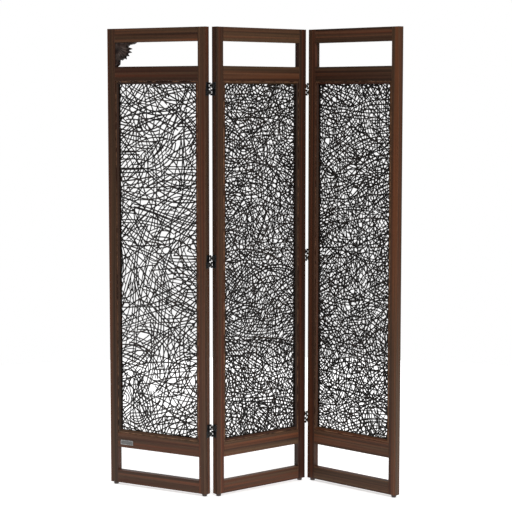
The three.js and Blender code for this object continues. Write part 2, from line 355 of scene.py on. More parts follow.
def arc(centre: Sequence[float], radius: float, start: float, stop: float, steps: int) -> list[Vector]:
    """Points along an arc, with its angles in degrees and both ends included."""
    turns = (math.radians(start + (stop - start) * i / steps) for i in range(steps + 1))
    return polar(centre, radius, turns)


def rounded_rectangle(width: float, height: float, radius: float, steps: int = 5) -> list[Vector]:
    """Outline of a rectangle with round corners, centred on the origin, anticlockwise."""
    x, y = width / 2 - radius, height / 2 - radius
    corners = [(x, y, 0), (-x, y, 90), (-x, -y, 180), (x, -y, 270)]
    return [p for cx, cy, turn in corners for p in arc((cx, cy), radius, turn, turn + 90, steps)]


def shrunk(outline: list[Vector], distance: float) -> list[Vector]:
    """Moves an anticlockwise outline inwards by a small distance.

    Args:
        outline: The points.
        distance: How far each side moves in.

    Returns:
        As many points as before.
    """
    sharpest = 0.5
    result = []
    for before, here, after in zip(outline[-1:] + outline[:-1], outline, outline[1:] + outline[:1]):
        first = (here - before).normalized()
        second = (after - here).normalized()
        inward = Vector((-(first.y + second.y), first.x + second.x)).normalized()
        spread = max(sharpest, inward.dot(Vector((-first.y, first.x))))
        result.append(here + inward * distance / spread)
    return result


def round_pairs(ring: Sequence) -> Iterable[tuple]:
    """Each item of a ring with the one after it."""
    return zip(ring, [*ring[1:], ring[0]])


def walls(rings: Sequence[Sequence]) -> list[tuple]:
    """The four-sided faces between each ring of vertices and the next."""
    faces = []
    for low, high in zip(rings, rings[1:]):
        faces += [(a, b, d, c) for (a, b), (c, d) in zip(round_pairs(low), round_pairs(high))]
    return faces


def numbered_rings(count: int, size: int) -> list[range]:
    """The vertex numbers of so many rings of one size, when their points follow one another."""
    return [range(i * size, (i + 1) * size) for i in range(count)]


def prism(
    outline: list[Vector],
    low: float,
    high: float,
    chamfer: float,
    holes: Sequence[tuple[Vector, float, float]] = (),
) -> Mesh:
    """A closed plate or bar with a given outline, its rims chamfered, and with conical holes.

    Args:
        outline: The anticlockwise outline.
        low: The lower face's z.
        high: The upper face's z.
        chamfer: Size of the chamfer round both rims.
        holes: For each hole its centre, its radius at the low face and its radius at the high face.

    Returns:
        The mesh.
    """
    hole_steps = 20
    tight = shrunk(outline, chamfer)
    stacks = [[(tight, low), (outline, low + chamfer), (outline, high - chamfer), (tight, high)]]
    for centre, below, above in holes:
        stacks.append([(circle(below, hole_steps, centre), low), (circle(above, hole_steps, centre), high)])
    mesh = bpy.data.meshes.new("prism")
    with opened(mesh) as shape:
        caps: tuple[list, list] = ([], [])
        for stack in stacks:
            rings = [[shape.verts.new((p.x, p.y, z)) for p in points] for points, z in stack]
            for face in walls(rings):
                shape.faces.new(face)
            for edges, ring in zip(caps, (rings[0], rings[-1])):
                edges += [shape.edges.get(pair) for pair in round_pairs(ring)]
        for edges in caps:
            bmesh.ops.triangle_fill(shape, edges=edges, use_beauty=True)
    return crisp(faced_out(mesh))


def lathe(profile: Sequence[Sequence[float]], steps: int, closed: bool = False) -> Mesh:
    """Turns a profile of (radius, z) points round the z axis.

    Args:
        profile: The points. An open profile starts and ends on the axis.
        steps: Number of sides.
        closed: Whether the profile is a ring that never meets the axis.

    Returns:
        The mesh.
    """
    tiny = 1e-7
    points, rings = [], []
    for radius, z in profile:
        if radius < tiny:
            rings.append([len(points)] * steps)
            points.append((0, 0, z))
        else:
            rings.append(list(range(len(points), len(points) + steps)))
            points += [(p.x, p.y, z) for p in circle(radius, steps)]
    if closed:
        rings.append(rings[0])
    faces = [list(dict.fromkeys(face)) for face in walls(rings)]
    return crisp(mesh_from(points, [face for face in faces if len(face) > 2]))


def domed_head(radius: float, rise: float, steps: int) -> Mesh:
    """A pin's round domed head on z = 0, with a short root below."""
    root = 0.0002
    dome = [(p.x, p.y * rise / radius) for p in arc((0, 0), radius, 0, 90, 6)]
    return lathe([(0, -root), (radius, -root), *dome], steps)


def crisp(mesh: Mesh, angle: float = 32) -> Mesh:
    """Shades a mesh smooth, except across edges sharper than an angle in degrees."""
    mesh.shade_smooth()
    mesh.set_sharp_from_angle(angle=math.radians(angle))
    return mesh


# ---------- node helpers ----------


class Graph:
    """Wires a shader or geometry node tree."""

    def __init__(self, tree: NodeTree) -> None:
        """Takes the tree to wire."""
        self.tree = tree

    def feed(self, node: Node, inputs: dict) -> None:
        """Links sockets into a node's inputs, or sets their constants, by name or number."""
        for key, value in inputs.items():
            if isinstance(value, Socket):
                self.tree.links.new(value, node.inputs[key])
            else:
                node.inputs[key].default_value = value

    def add(self, kind: str, inputs: dict | None = None, **settings: object) -> Node:
        """Adds a node, with its settings and its inputs.

        Args:
            kind: The node's type name.
            inputs: Constants or sockets, by input name or number.
            **settings: The node's own properties.

        Returns:
            The node.
        """
        node = self.tree.nodes.new(kind)
        for key, value in settings.items():
            setattr(node, key, value)
        self.feed(node, inputs or {})
        return node

    def group(self, tree: NodeTree, inputs: dict) -> Node:
        """Adds the node of a shared shader group."""
        return self.add("ShaderNodeGroup", inputs, node_tree=tree)

    def math(self, kind: str, first: object, second: object = 0.0, clamp: bool = False) -> Socket:
        """A Math node's result."""
        return self.add("ShaderNodeMath", {0: first, 1: second}, operation=kind, use_clamp=clamp).outputs[0]

    def times(self, first: object, second: object, clamp: bool = False) -> Socket:
        """The product of two numbers."""
        return self.math("MULTIPLY", first, second, clamp)

    def vector(self, kind: str, first: object, second: object) -> Socket:
        """A Vector Math node's result."""
        return self.add("ShaderNodeVectorMath", {0: first, 1: second}, operation=kind).outputs[0]

    def noise(
        self, place: Socket, cells: object, detail: float = 2, roughness: float = 0.5
    ) -> Socket:
        """A 3D noise from 0 to 1, with so many cells for each unit of the place along x, y and z."""
        values = {"Vector": self.vector("MULTIPLY", place, cells), "Scale": 1.0}
        values |= {"Detail": detail, "Roughness": roughness}
        return self.add("ShaderNodeTexNoise", values).outputs[0]

    def span(
        self, value: Socket, low: float, high: float, to_low: float = 0, to_high: float = 1
    ) -> Socket:
        """A value mapped smoothly from one range to another, and held within it."""
        values = {"Value": value, "From Min": low, "From Max": high, "To Min": to_low, "To Max": to_high}
        return self.add("ShaderNodeMapRange", values, interpolation_type="SMOOTHSTEP").outputs[0]

    def mix(self, factor: object, first: object, second: object, blend: str = "MIX") -> Socket:
        """Two colours mixed by a factor."""
        padded = [(*c, 1.0) if isinstance(c, tuple) else c for c in (first, second)]
        values = {0: factor, 6: padded[0], 7: padded[1]}
        return self.add("ShaderNodeMix", values, data_type="RGBA", blend_type=blend).outputs[2]

    def bump(self, height: Socket, distance: float) -> Socket:
        """The normal of a Bump node, with the depth of its relief."""
        values = {"Height": height, "Distance": distance, "Strength": 1.0}
        return self.add("ShaderNodeBump", values).outputs[0]

    def attribute(self, name: str, output: str = "Fac") -> Socket:
        """A mesh attribute, as a number unless another of the node's outputs is named."""
        return self.add("ShaderNodeAttribute", attribute_name=name).outputs[output]

    def dressed(self, geometry: Socket, finish: Socket) -> Socket:
        """Geometry with its instances made real and its material set."""
        whole = self.add("GeometryNodeRealizeInstances", {"Geometry": geometry}).outputs[0]
        return self.add("GeometryNodeSetMaterial", {"Geometry": whole, "Material": finish}).outputs[0]


def new_group(name: str, kind: str, inputs: dict[str, tuple], outputs: dict[str, str]) -> tuple:
    """Starts a node group with named inputs and outputs.

    Args:
        name: The group's name.
        kind: The tree's type name.
        inputs: For each input its socket type and its default, or None.
        outputs: For each output its socket type.

    Returns:
        The graph, the node that gives the inputs and the node that takes the outputs.
    """
    tree = bpy.data.node_groups.new(name, kind)
    for label, (socket_type, default) in inputs.items():
        socket = tree.interface.new_socket(label, in_out="INPUT", socket_type=socket_type)
        if default is not None:
            socket.default_value = default
    for label, socket_type in outputs.items():
        tree.interface.new_socket(label, in_out="OUTPUT", socket_type=socket_type)
    graph = Graph(tree)
    return graph, graph.add("NodeGroupInput"), graph.add("NodeGroupOutput")


@cache
def grain_group() -> NodeTree:
    """Wood grain along x: growth rings about a far axis, long streaks, fibres and short open pores.

    Returns:
        The shader group. Its outputs are the grain's tone from dark to light, the pores' mask, and height.
    """
    graph, given, out = new_group("wood_grain", "ShaderNodeTree", {
        "Place": ("NodeSocketVector", None),
        "Ring Spacing": ("NodeSocketFloat", 0.006),
        "Wander": ("NodeSocketFloat", 0.008),
        "Streaks": ("NodeSocketFloat", 0.55),
    }, {"Tone": "NodeSocketFloat", "Pores": "NodeSocketFloat", "Height": "NodeSocketFloat"})
    place = given.outputs["Place"]
    fibre_share = 0.22
    drift = graph.noise(place, (0.9, 11, 11)).node.outputs["Color"]
    centred = graph.vector("SUBTRACT", drift, (0.5, 0.5, 0.5))
    wavy = graph.vector("ADD", place, graph.vector("MULTIPLY", centred, given.outputs["Wander"]))
    parts = graph.add("ShaderNodeSeparateXYZ", {0: wavy}).outputs
    squares = graph.math("ADD", graph.math("POWER", parts[1], 2.0), graph.math("POWER", parts[2], 2.0))
    rings = graph.add("ShaderNodeTexNoise", {
        "W": graph.math("DIVIDE", graph.math("SQRT", squares), given.outputs["Ring Spacing"]),
        "Scale": 1.0, "Detail": 3.0, "Roughness": 0.62,
    }, noise_dimensions="1D").outputs[0]
    streaks = graph.noise(wavy, (0.7, 95, 95), detail=3, roughness=0.55)
    fibres = graph.noise(place, (16, 1300, 1300))
    pores = graph.span(graph.noise(place, (75, 1900, 1900), detail=1), 0.6, 0.72)
    band = graph.add("ShaderNodeMix", {
        0: given.outputs["Streaks"], 2: graph.span(rings, 0.3, 0.7), 3: graph.span(streaks, 0.32, 0.68),
    }).outputs[0]
    tone = graph.math("ADD", graph.times(band, 1 - fibre_share), graph.times(fibres, fibre_share), clamp=True)
    height = graph.math("SUBTRACT", graph.times(fibres, 0.35), pores)
    graph.feed(out, {"Tone": tone, "Pores": pores, "Height": height})
    return graph.tree


@cache
def wear_group() -> NodeTree:
    """Wear along edges, broken up by noise. Along the beads' crests the same mask also paints a highlight.

    Returns:
        The shader group. Its output is the mask of worn places.
    """
    graph, given, out = new_group("edge_wear", "ShaderNodeTree", {
        "Place": ("NodeSocketVector", None),
        "Edge": ("NodeSocketFloat", 0.0),
        "Grain Size": ("NodeSocketFloat", 0.01),
        "Amount": ("NodeSocketFloat", 0.5),
    }, {"Worn": "NodeSocketFloat"})
    cells = graph.math("DIVIDE", 1.0, given.outputs["Grain Size"])
    patch = graph.span(graph.noise(given.outputs["Place"], cells, detail=3, roughness=0.6), 0.36, 0.66)
    worn = graph.times(graph.times(patch, given.outputs["Edge"]), given.outputs["Amount"], clamp=True)
    graph.feed(out, {"Worn": worn})
    return graph.tree


@cache
def dust_group() -> NodeTree:
    """Fine dust that settles on faces that look up.

    Returns:
        The shader group. Its output is the dust's mask.
    """
    graph, given, out = new_group("settled_dust", "ShaderNodeTree", {
        "Place": ("NodeSocketVector", None),
        "Amount": ("NodeSocketFloat", 0.1),
    }, {"Dust": "NodeSocketFloat"})
    normal = graph.add("ShaderNodeSeparateXYZ", {0: graph.add("ShaderNodeNewGeometry").outputs["Normal"]})
    patch = graph.span(graph.noise(given.outputs["Place"], (45, 45, 45), detail=5, roughness=0.65), 0.3, 0.75)
    upward = graph.span(normal.outputs[2], 0.35, 1.0)
    graph.feed(out, {"Dust": graph.times(graph.times(upward, patch), given.outputs["Amount"], clamp=True)})
    return graph.tree


# ---------- finishes ----------


@dataclass(frozen=True)
class Finish:
    """A finish that can make its own material.

    Attributes:
        name: The material's name.
    """

    name: str

    def make(self) -> bpy.types.Material:
        """Makes the material once and gives it back."""
        if self.name in bpy.data.materials:
            return bpy.data.materials[self.name]
        material = bpy.data.materials.new(self.name)
        material.use_nodes = True
        self.wire(Graph(material.node_tree), material.node_tree.nodes["Principled BSDF"])
        return material

    def wire(self, graph: Graph, surface: Node) -> None:
        """Wires the material's own nodes into its Principled BSDF."""
        raise NotImplementedError


@dataclass(frozen=True)
class StainedWood(Finish):
    """Solid wood with a dark stain under satin lacquer.

    Attributes:
        dark: Colour of the darkest grain.
        body: Colour between.
        light: Colour of the lightest grain.
        worn: Colour of the worn edges; on the beads' crests it also paints a highlight.
        wear: How much of the edges is worn.
        ring_spacing: Mean distance between growth rings.
        gloss: Mean roughness.
        relief: Depth of the open pores.
    """

    dark: Colour = (0.023, 0.0105, 0.0062)
    body: Colour = (0.060, 0.0262, 0.0138)
    light: Colour = (0.104, 0.0475, 0.025)
    worn: Colour = (0.17, 0.10, 0.062)
    wear: float = 0.5
    ring_spacing: float = 0.014
    gloss: float = 0.43
    relief: float = 0.00012

    def wire(self, graph: Graph, surface: Node) -> None:
        """Wires grain, stain patches, edge wear and dust."""
        ruddy, ashen, dusty = (1.35, 0.86, 0.66), (0.86, 1.02, 0.98), (0.30, 0.28, 0.25)
        place = graph.attribute(PLACE, "Vector")
        tone = graph.attribute(TONE)
        grain = graph.group(grain_group(), {"Place": place, "Ring Spacing": self.ring_spacing}).outputs
        lower = graph.span(grain["Tone"], 0.1, 0.52)
        upper = graph.span(grain["Tone"], 0.45, 0.9)
        colour = graph.mix(upper, graph.mix(lower, self.dark, self.body), self.light)
        stain = graph.noise(place, (0.9, 62, 62))
        colour = graph.mix(graph.span(stain, 0.45, 0.66, 0, 0.8), colour, ruddy, "MULTIPLY")
        colour = graph.mix(graph.span(stain, 0.34, 0.52, 0.8, 0), colour, ashen, "MULTIPLY")
        # Each piece's tone shifts its hue and lightness; on the frame's bars this partly paints shade and
        # light.
        shade = graph.add("ShaderNodeHueSaturation", {
            "Hue": graph.span(tone, 0, 1, 0.494, 0.506),
            "Value": graph.span(tone, 0, 1, 0.6, 1.35),
            "Color": colour,
        }).outputs[0]
        colour = graph.mix(graph.times(grain["Pores"], 0.65), shade, self.dark)
        worn = graph.group(wear_group(), {
            "Place": place, "Edge": graph.attribute(EDGE), "Grain Size": 0.03, "Amount": self.wear,
        }).outputs[0]
        dust = graph.group(dust_group(), {"Place": place, "Amount": 0.045}).outputs[0]
        haze = graph.noise(place, (2.5, 60, 60), detail=3)
        gloss = graph.span(haze, 0.3, 0.7, self.gloss - 0.02, self.gloss + 0.05)
        rough = graph.math("ADD", gloss, graph.times(grain["Pores"], 0.2))
        graph.feed(surface, {
            "Base Color": graph.mix(dust, graph.mix(worn, colour, self.worn), dusty),
            "Roughness": graph.math("ADD", rough, graph.times(dust, 1.5), clamp=True),
            "Specular IOR Level": 0.2,
            "Normal": graph.bump(grain["Height"], self.relief),
        })


@dataclass(frozen=True)
class StainedCane(Finish):
    """Cane strands stained nearly black.

    Attributes:
        dark: Colour of the darkest strands.
        light: Colour of the palest strands.
        gloss: Mean roughness.
    """

    dark: Colour = (0.0045, 0.0035, 0.003)
    light: Colour = (0.034, 0.023, 0.018)
    gloss: float = 0.5

    def wire(self, graph: Graph, surface: Node) -> None:
        """Wires the strands' own tones, streaks along them and their fine fibres."""
        dusty = (0.16, 0.14, 0.12)
        tone = graph.attribute(TONE)
        spot = graph.add("ShaderNodeTexCoord").outputs["Object"]
        strand = graph.add("ShaderNodeCombineXYZ", {0: graph.attribute(RUN), 1: tone}).outputs[0]
        patches = graph.noise(strand, (38, 97, 1), detail=3, roughness=0.6)
        fibre = graph.noise(spot, (900, 900, 900))
        blend = graph.times(graph.math("POWER", tone, 2.2), graph.span(patches, 0.3, 0.75, 0.45, 1.15))
        colour = graph.mix(blend, self.dark, self.light)
        colour = graph.mix(graph.span(fibre, 0.45, 0.7, 0, 0.35), colour, self.dark)
        dust = graph.group(dust_group(), {"Place": spot, "Amount": 0.12}).outputs[0]
        graph.feed(surface, {
            "Base Color": graph.mix(dust, colour, dusty),
            "Roughness": graph.span(patches, 0.25, 0.75, self.gloss - 0.1, self.gloss + 0.15),
            "Specular IOR Level": 0.3,
            "Normal": graph.bump(fibre, 0.00015),
        })


@dataclass(frozen=True)
class BlackLacquer(Finish):
    """Steel under black lacquer, worn through here and there along its edges.

    Attributes:
        coat: Colour of the lacquer.
        steel: Colour of the bare steel.
        gloss: Mean roughness of the lacquer.
    """

    coat: Colour = (0.0035, 0.0035, 0.0038)
    steel: Colour = (0.16, 0.155, 0.15)
    gloss: float = 0.36

    def wire(self, graph: Graph, surface: Node) -> None:
        """Wires the lacquer's fine texture, the worn edges and the dust."""
        smeared, dusty = (0.010, 0.010, 0.010), (0.25, 0.24, 0.22)
        spot = graph.add("ShaderNodeTexCoord").outputs["Object"]
        peel = graph.noise(spot, (1400, 1400, 1400))
        smear = graph.noise(spot, (160, 160, 160), detail=3)
        worn = graph.group(wear_group(), {
            "Place": spot, "Edge": graph.attribute(EDGE), "Grain Size": 0.0035, "Amount": 0.5,
        }).outputs[0]
        dust = graph.group(dust_group(), {"Place": spot, "Amount": 0.1}).outputs[0]
        colour = graph.mix(graph.span(smear, 0.4, 0.8, 0, 0.6), self.coat, smeared)
        graph.feed(surface, {
            "Base Color": graph.mix(dust, graph.mix(worn, colour, self.steel), dusty),
            "Metallic": graph.times(worn, 0.9),
            "Roughness": graph.span(smear, 0.3, 0.7, self.gloss - 0.06, self.gloss + 0.1),
            "Specular IOR Level": 0.3,
            "Normal": graph.bump(peel, 0.00003),
        })


@dataclass(frozen=True)
class MouldedPlastic(Finish):
    """Dark moulded plastic, scuffed underneath.

    Attributes:
        colour: The plastic's colour.
        scuffed: Colour of the scuffs.
    """

    colour: Colour = (0.030, 0.0152, 0.0108)
    scuffed: Colour = (0.075, 0.058, 0.048)

    def wire(self, graph: Graph, surface: Node) -> None:
        """Wires scuffs near the tread and a fine moulded texture."""
        place = graph.attribute(PLACE, "Vector")
        height = graph.add("ShaderNodeSeparateXYZ", {0: place}).outputs[2]
        scuffs = graph.span(graph.noise(place, (700, 700, 160), detail=4, roughness=0.7), 0.45, 0.68)
        mask = graph.times(scuffs, graph.span(height, 0.0, 0.006, 1.0, 0.12))
        texture = graph.noise(place, (2600, 2600, 2600))
        graph.feed(surface, {
            "Base Color": graph.mix(mask, self.colour, self.scuffed),
            "Roughness": graph.span(mask, 0, 1, 0.34, 0.6),
            "Normal": graph.bump(texture, 0.00002),
        })


@dataclass(frozen=True)
class BrushedPlate(Finish):
    """Thin brushed metal, a little tarnished.

    Attributes:
        bright: Colour of the clean metal.
        dull: Colour of the tarnish.
        field: Colour of the sunk field.
    """

    bright: Colour = (0.36, 0.36, 0.355)
    dull: Colour = (0.15, 0.15, 0.147)
    field: Colour = (0.085, 0.084, 0.082)

    def wire(self, graph: Graph, surface: Node) -> None:
        """Wires the brush lines along the plate and its tarnish."""
        brushed = (0.12, 0.12, 0.12)
        place = graph.attribute(PLACE, "Vector")
        brush = graph.noise(place, (60, 6000, 9000), detail=3)
        tarnish = graph.noise(place, (110, 160, 160), detail=4, roughness=0.6)
        colour = graph.mix(graph.span(tarnish, 0.42, 0.66, 0, 0.7), self.bright, self.dull)
        colour = graph.mix(graph.times(brush, 0.25), colour, brushed)
        graph.feed(surface, {
            "Base Color": graph.mix(graph.times(graph.attribute(TONE), 0.75), colour, self.field),
            "Metallic": 0.85,
            "Roughness": graph.span(brush, 0.3, 0.7, 0.34, 0.5),
            "Normal": graph.bump(brush, 0.00003),
        })


@dataclass(frozen=True)
class StudioFloor(Finish):
    """Plain pale floor, softly lit from below so that shadows stay faint."""

    def wire(self, graph: Graph, surface: Node) -> None:
        """Sets a matt, nearly white surface."""
        white = (1.0, 1.0, 1.0, 1.0)
        graph.feed(surface, {
            "Base Color": (0.93, 0.93, 0.93, 1.0), "Roughness": 0.9, "Specular IOR Level": 0.1,
            "Emission Color": white, "Emission Strength": 0.5,
        })


FRAME_WOOD = StainedWood("stained_wood_finish")
# The bead's strong wear and light worn colour paint a lighter line along its crest: partly wear, partly a
# painted highlight.
BEAD_FINISH = StainedWood(
    "bead_wood_finish", (0.018, 0.0085, 0.0045), (0.045, 0.020, 0.0098), (0.078, 0.036, 0.018),
    worn=(0.21, 0.105, 0.056), wear=0.9, ring_spacing=0.006,
)
CARVING_FINISH = StainedWood(
    "carved_wood_finish", (0.012, 0.0072, 0.006), (0.029, 0.0172, 0.0142), (0.054, 0.036, 0.031),
    worn=(0.135, 0.095, 0.080), wear=0.9, ring_spacing=0.004,
)
CANE_FINISH = StainedCane("woven_cane_finish")
HINGE_FINISH = BlackLacquer("black_hinge_finish")
GLIDE_FINISH = MouldedPlastic("glide_finish")
PLATE_FINISH = BrushedPlate("silver_plate_finish")


# ---------- placing pieces ----------


class Workshop:
    """Puts finished meshes into the scene, and keeps the random numbers that vary them."""

    def __init__(self, seed: int) -> None:
        """Starts the random numbers.

        Args:
            seed: The fixed seed.
        """
        self.random = np.random.default_rng(seed)

    def fit(
        self,
        mesh: Mesh,
        name: str,
        body: str,
        finish: Finish,
        slot: Slot,
        replaces: Sequence[str] = (),
    ) -> None:
        """Adds a piece in the row frame, dresses it and ties it to its body.

        Args:
            mesh: The mesh, already in the row frame.
            name: The piece's name.
            body: The CAD body that it rides on.
            finish: Its finish.
            slot: The record's material slot; not used.
            replaces: The CAD nodes that it stands for.
        """
        mesh.name = name
        mesh.materials.clear()
        mesh.materials.append(finish.make())
        piece = loose_object(mesh, name)
        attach(piece, body)
        if replaces:
            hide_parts(*replaces)
        LOG.info("%s: %d faces, rides on %s", name, len(mesh.polygons), body)

    def timber(self, mesh: Mesh, tone: float | None = None) -> Mesh:
        """Marks a wooden piece, whose grain runs along x, with its own place in the log and its tone.

        Args:
            mesh: The piece's mesh.
            tone: From 0 for the darkest to 1 for the lightest, or None for any; the frame's bars bring tones
                that partly paint shade and light.

        Returns:
            The same mesh.
        """
        near_pith = np.array((0, 0.035, 0.02))
        spread = np.array((5.0, 0.05, 0.03))
        offset = near_pith + spread * self.random.random(3)
        mark(mesh, PLACE, points_of(mesh) + offset)
        any_tone = self.random.random()
        mark(mesh, TONE, np.full(len(mesh.vertices), any_tone if tone is None else tone))
        return mesh


@dataclass
class PanelWork:
    """Something made for one panel.

    Attributes:
        panel: The panel that it belongs to.
        shop: Where it is made.
    """

    panel: Panel
    shop: Workshop

    def fit(self, mesh: Mesh, place: Matrix, node: str, kind: str, finish: Finish, slot: Slot) -> None:
        """Moves a mesh from its own frame into its panel, and fits it in place of one of the panel's nodes.

        Args:
            mesh: The mesh.
            place: Matrix from the mesh's own frame to the panel's.
            node: The node's name in the panel.
            kind: What the piece is, which ends its name.
            finish: Its finish.
            slot: The record's material slot.
        """
        name = f"{self.panel.name}_{node}"
        moved(mesh, self.panel.place @ place)
        self.shop.fit(mesh, f"{name}_{kind}", self.panel.name, finish, slot, [name])


# ---------- wooden frame ----------


@dataclass
class WoodenFrame(PanelWork):
    """One panel's stiles and rails.

    Attributes:
        steps: Faces across a rounded edge.
    """

    steps: int = 3

    BARS = ("left_stile", "right_stile", "bottom_rail", "lower_rail", "second_rail", "top_rail")
    # How light each bar is made, in the order of BARS: partly the timber's own tone, partly painted shade and
    # light, with the middle panel's right stile darkest where it meets the right panel and the right panel's
    # right stile lightest at its lit end.
    BAR_TONES_AND_SHADE = {
        "left_panel": (0.62, 0.52, 0.4, 0.58, 0.35, 0.65),
        "middle_panel": (0.5, 0.0, 0.65, 0.7, 0.73, 0.7),
        "right_panel": (0.4, 0.85, 0.6, 0.55, 0.42, 0.5),
    }

    def build(self) -> None:
        """Makes the panel's bars."""
        for node, tone in zip(self.BARS, self.BAR_TONES_AND_SHADE[self.panel.name]):
            make = self.stile if node.endswith("stile") else self.rail
            self.fit(*make(node, tone), node, "timber", FRAME_WOOD, Slot.WOOD)

    def bar(self, length: float, width: float, tone: float) -> Mesh:
        """A rounded bar along x, as thick as the frame in y, and standing on z = 0.

        Args:
            length: Its length.
            width: Its height in z.
            tone: How light it is made, from 0 to 1, partly painted shade and light.

        Returns:
            The marked mesh.
        """
        corners = [(x, y, z) for x in (0, length) for y in (0, FRAME.thickness) for z in (0, width)]
        faces = [(0, 1, 3, 2), (4, 6, 7, 5), (0, 4, 5, 1), (2, 3, 7, 6), (0, 2, 6, 4), (1, 5, 7, 3)]
        mesh = mesh_from(corners, faces)
        weights = []
        for edge in mesh.edges:
            first, second = (mesh.vertices[i].co.x for i in edge.vertices)
            weights.append(1.0 if abs(first - second) > length / 2 else FRAME.butt / FRAME.arris)
        mark(mesh, "bevel_weight_edge", weights, "EDGE")
        mesh = self.shop.timber(bevelled(mesh, FRAME.arris, self.steps), tone)
        mark_chamfers(mesh)
        return mesh

    def stile(self, node: str, tone: float) -> tuple[Mesh, Matrix]:
        """One upright bar, whose grain runs up it, with its place."""
        upright = Matrix(((0, 0, -1, FRAME.stile), (0, 1, 0, 0), (1, 0, 0, 0), (0, 0, 0, 1)))
        across = self.panel.stile_x(End(node.removesuffix("_stile")))
        return self.bar(self.panel.height, FRAME.stile, tone), Matrix.Translation((across, 0, 0)) @ upright

    def rail(self, node: str, tone: float) -> tuple[Mesh, Matrix]:
        """One level bar between the stiles, with its place."""
        low, high = self.panel.levels(node)
        mesh = self.bar(self.panel.opening - 2 * FRAME.gap, high - low, tone)
        return mesh, Matrix.Translation((FRAME.stile + FRAME.gap, 0, low))


@dataclass
class BeadRing(PanelWork):
    """A mitred ring of moulding that holds the cane at one face of a panel.

    Attributes:
        width: Width of the moulding.
        recess: How far its crest lies behind the frame's face.
        cane: Thickness of the cane between the two rings.
        mitre: Half the joint line at each corner.
        quirk: Depth of the step along its outer edge.
        crest: Radius of its rounded crest.
        lip: Width of the small flat that the step ends in.
        brow: Where the hollow begins, from the outer edge.
        toe: Depth of the hollow at the inner edge.
        worn_highlight_band: The stretch that wear reaches, from the outer edge; its lighter colour is partly
            wear and partly a painted highlight along the crest.
    """

    width: float = 0.012
    recess: float = 0.0015
    cane: float = 0.009
    mitre: float = 0.00008
    quirk: float = 0.0011
    crest: float = 0.0024
    lip: float = 0.0004
    brow: float = 0.0062
    toe: float = 0.0046
    worn_highlight_band: tuple[float, float] = (0.0003, 0.0026)

    @property
    def depth(self) -> float:
        """Depth of the moulding, from its crest to the cane."""
        return FRAME.middle - self.cane / 2 - FRAME.gap - self.recess

    def profile(self) -> list[Vector]:
        """The moulding's section: distance from its outer edge, and depth behind its crest."""
        quirk, crest, brow = self.quirk, self.crest, self.brow
        side, shoulder, cut = (quirk + crest * share for share in (0.6, 0.25, 0.2))
        front = [Vector((0, side)), Vector((self.lip, shoulder))]
        front += [p for p in arc((crest, crest), crest, 180, 270, 6) if p.y < cut]
        hollow = [
            Vector((brow + (self.width - brow) * s, self.toe * (3 * s * s - 2 * s ** 3)))
            for s in np.linspace(0, 1, 9)
        ]
        return [Vector((0, self.depth)), *front, *hollow, Vector((self.width, self.depth))]

    def strip(self, length: float) -> Mesh:
        """One mitred strip along x, with its outer edge on z = 0 and its crest on y = 0.

        Args:
            length: Length of its outer edge.

        Returns:
            The marked mesh.
        """
        profile = self.profile()
        points = [(p.x + self.mitre, p.y, p.x) for p in profile]
        points += [(length - p.x - self.mitre, p.y, p.x) for p in profile]
        rings = numbered_rings(2, len(profile))
        mesh = crisp(mesh_from(points, [*walls(rings), list(rings[0]), list(reversed(rings[1]))]), 40)
        # The crest band is marked for wear, which paints it lighter: partly wear, partly a painted highlight.
        near, far = self.worn_highlight_band
        mark(mesh, EDGE, [float(near < point[2] < far) for point in points])
        return self.shop.timber(mesh)

    def build(self, face: Face) -> None:
        """Makes one ring.

        Args:
            face: The face of the panel that it lies at.
        """
        low, high = self.panel.window
        half_width = self.panel.opening / 2 - FRAME.gap
        half_height = (high - low) / 2 - FRAME.gap
        sides = ((half_width, half_height), (half_height, half_width)) * 2
        strips = []
        for turn, (reach, drop) in enumerate(sides):
            strip = moved(self.strip(2 * reach), Matrix.Translation((-reach, 0, -drop)))
            strips.append(moved(strip, Matrix.Rotation(-turn * math.pi / 2, 4, "Y")))
        depth, turn = (self.recess, 0) if face is Face.FRONT else (FRAME.thickness - self.recess, math.pi)
        place = self.panel.window_middle(depth) @ Matrix.Rotation(turn, 4, "Z")
        self.fit(joined(strips), place, f"{face.value}_bead", "moulding", BEAD_FINISH, Slot.BEAD)


# ---------- woven field ----------

# Stands a flat shape up, so that its upper side looks to the front.
STOOD_UP = Matrix(((1, 0, 0, 0), (0, 0, -1, 0), (0, 1, 0, 0), (0, 0, 0, 1)))


